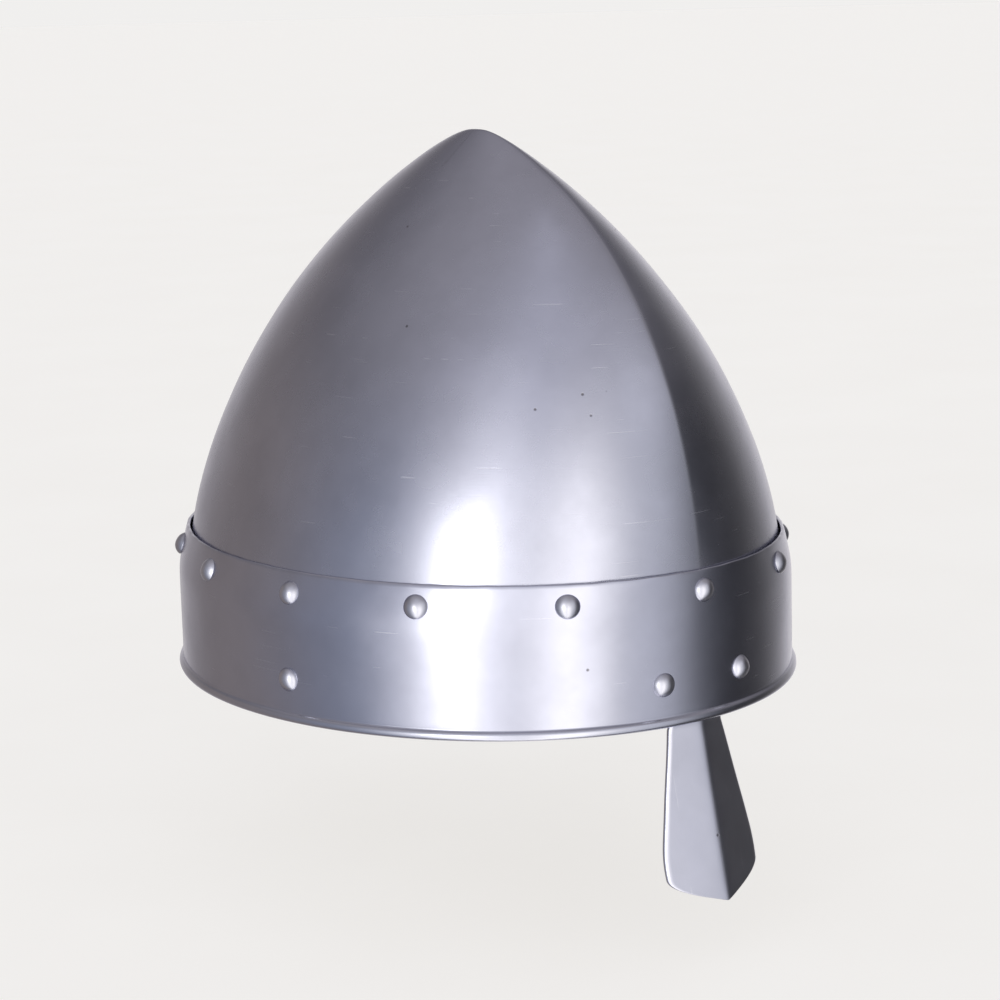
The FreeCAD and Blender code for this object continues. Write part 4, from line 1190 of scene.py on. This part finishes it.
def paint_nodes():
    """Materials for the CAD nodes that show."""
    paints = {
        "brow_rivet_washers": WASHER_STEEL,
        "nasal_rivet_washers": WASHER_STEEL,
        "strap_rivet_washers": WASHER_STEEL,
        "buckle_frame": BRASS,
        "buckle_prong": BRASS,
        "buckle_fold_rivet": BRASS,
    }
    for name, material in paints.items():
        node = frame["nodes"][name]
        node.data.materials.clear()
        node.data.materials.append(material)


make_skull()
make_band()
make_nasal()
make_all_rivets()
make_headband()
for number in range(TONGUES):
    make_tongue(number)
make_seam()
make_lace()
make_strap_long()
make_strap_short()
make_keeper()
paint_nodes()


# ---- stage, light and camera
def floor():
    """A wide pale floor, clear of the chin strap when it hangs down."""
    height = PIVOT.z - STRAP_RISE - 12 * MM
    rings = [0.0, 0.2, 0.5, 1, 2, 4, 8, 16, 40]
    sides = 48
    turns = np.linspace(0, 2 * math.pi, sides + 1)[:-1]
    points = [(r * math.cos(a), r * math.sin(a), height) for r in rings for a in turns]
    faces = [f[::-1] for f in grid_faces(len(rings), sides, around=True)]
    made = mesh_object("floor", np.array(points), faces)
    material, nodes, place = new_material("paper")
    tone = nodes.mix(nodes.noise(place, 9.0, 4.0, 0.6), (0.90, 0.885, 0.86, 1), (0.94, 0.93, 0.91, 1))
    looks = {"Base_Color": (0.28, 0.275, 0.26, 1), "Roughness": 0.9, "Specular_IOR_Level": 0.1}
    shader = nodes.make("ShaderNodeBsdfPrincipled", Emission_Color=tone, Emission_Strength=0.80, **looks)
    clear = nodes.make("ShaderNodeBsdfTransparent").outputs[0]
    under = nodes.make("ShaderNodeNewGeometry").outputs["Backfacing"]
    both = nodes.make("ShaderNodeMixShader", _0=under, _1=shader.outputs[0], _2=clear).outputs[0]
    nodes.make("ShaderNodeOutputMaterial", Surface=both)
    made.data.materials.append(material)
    made.visible_glossy = False


def towards(azimuth, elevation):
    """Unit vector from the helmet to azimuth (0 is in front of the face, + to its left), in degrees."""
    a, e = math.radians(azimuth), math.radians(elevation)
    return Vector((math.sin(a) * math.cos(e), -math.cos(a) * math.cos(e), math.sin(e)))


def softbox(name, azimuth, elevation, distance, width, height, radiance, colour=(1, 1, 1)):
    """A rectangular lamp facing the helmet; radiance 1 looks like a white page."""
    data = bpy.data.lights.new(name, "AREA")
    data.shape = "RECTANGLE"
    data.size = width
    data.size_y = height
    data.color = colour
    data.energy = radiance * math.pi * width * height
    lamp = linked(name, data)
    aim = Vector((0, 0, 0.07))
    way = towards(azimuth, elevation)
    lamp.location = aim + way * distance
    lamp.rotation_mode = "QUATERNION"
    lamp.rotation_quaternion = way.to_track_quat("Z", "Y")
    lamp.visible_camera = False
    return lamp


# Soft light from all sides: azimuth in degrees, how narrow it is, the upward slope at which it starts
# to fade and has gone, and its colour times brightness.
GLOWS = [
    (-62, 17.0, 0.10, 0.90, (1.66, 1.62, 1.62)),
    (-20, 22.0, 0.09, 0.90, (1.66, 1.61, 1.58)),
    (15, 17.0, 0.45, 0.92, (0.58, 0.59, 0.65)),
    (136, 6.0, 0.00, 0.55, (1.02, 0.99, 0.96)),
    (-150, 3.0, 0.25, 0.60, (0.21, 0.18, 0.17)),
    (-100, 9.0, 0.25, 0.70, (0.06, 0.09, 0.15)),
    (-48, 2.2, 0.60, 1.50, (0.34, 0.36, 0.44)),
]


def glow(nodes, way, level, azimuth, narrow, fade, gone, colour):
    """Light from one side of the studio, as a colour that depends on direction."""
    a = math.radians(azimuth)
    side = nodes.vector("DOT_PRODUCT", _0=level, _1=(math.sin(a), -math.cos(a), 0)).outputs["Value"]
    spread = nodes.math("EXPONENT", nodes.times(nodes.minus(side, 1.0), narrow))
    share = nodes.times(spread, nodes.span(way, fade, gone, 1.0, 0.0))
    return nodes.vector("SCALE", _0=colour, Scale=share).outputs[0]


def studio():
    """Even, soft light from large diffusers round the helmet, dim at its left, and a pale backdrop."""
    softbox("key", -64, 4, 1.5, 0.34, 0.9, 2.2, (0.98, 0.98, 1.0))
    world = bpy.data.worlds.new("studio")
    bpy.context.scene.world = world
    world.use_nodes = True
    nodes = Nodes(world.node_tree)
    way = nodes.make("ShaderNodeTexCoord").outputs["Generated"]
    upward = nodes.make("ShaderNodeSeparateXYZ", Vector=way).outputs["Z"]
    flat = nodes.vector("MULTIPLY", _0=way, _1=(1, 1, 0)).outputs[0]
    level = nodes.vector("NORMALIZE", _0=flat).outputs[0]
    light = nodes.mix(nodes.span(upward, 0.15, 1.0), (0.012, 0.011, 0.013, 1), (0.37, 0.355, 0.39, 1))
    for azimuth, narrow, fade, gone, colour in GLOWS:
        one = glow(nodes, upward, level, azimuth, narrow, fade, gone, colour)
        light = nodes.vector("ADD", _0=light, _1=one).outputs[0]
    lit = nodes.make("ShaderNodeBackground", Color=light, Strength=1.0).outputs[0]
    pale = nodes.make("ShaderNodeBackground", Color=(0.875, 0.865, 0.855, 1), Strength=1.0).outputs[0]
    seen = nodes.make("ShaderNodeLightPath").outputs["Is Camera Ray"]
    both = nodes.make("ShaderNodeMixShader", _0=seen, _1=lit, _2=pale).outputs[0]
    nodes.make("ShaderNodeOutputWorld", Surface=both)


def camera():
    """The photograph's view: a little above the brow, from the wearer's front right."""
    azimuth, elevation, roll = -38.308, 10.914, math.radians(-1.466)
    distance = 899.1
    back = towards(azimuth, elevation)
    right = Vector((math.cos(math.radians(azimuth)), math.sin(math.radians(azimuth)), 0))
    up = back.cross(right)
    aim = Vector((0, 0, 80 * MM)) + right * 7.0 * MM - up * 24.58 * MM
    data = bpy.data.cameras.new("camera")
    data.sensor_width = 36
    data.lens = 94.3992
    data.clip_start = 0.05
    data.clip_end = 100
    made = linked("camera", data)
    x = right * math.cos(roll) + up * math.sin(roll)
    y = -right * math.sin(roll) + up * math.cos(roll)
    turned = Matrix((x, y, back)).transposed().to_4x4()
    made.matrix_world = Matrix.Translation(aim + back * distance * MM) @ turned
    bpy.context.scene.camera = made


floor()
studio()
camera()
bpy.context.scene.view_settings.view_transform = "Standard"
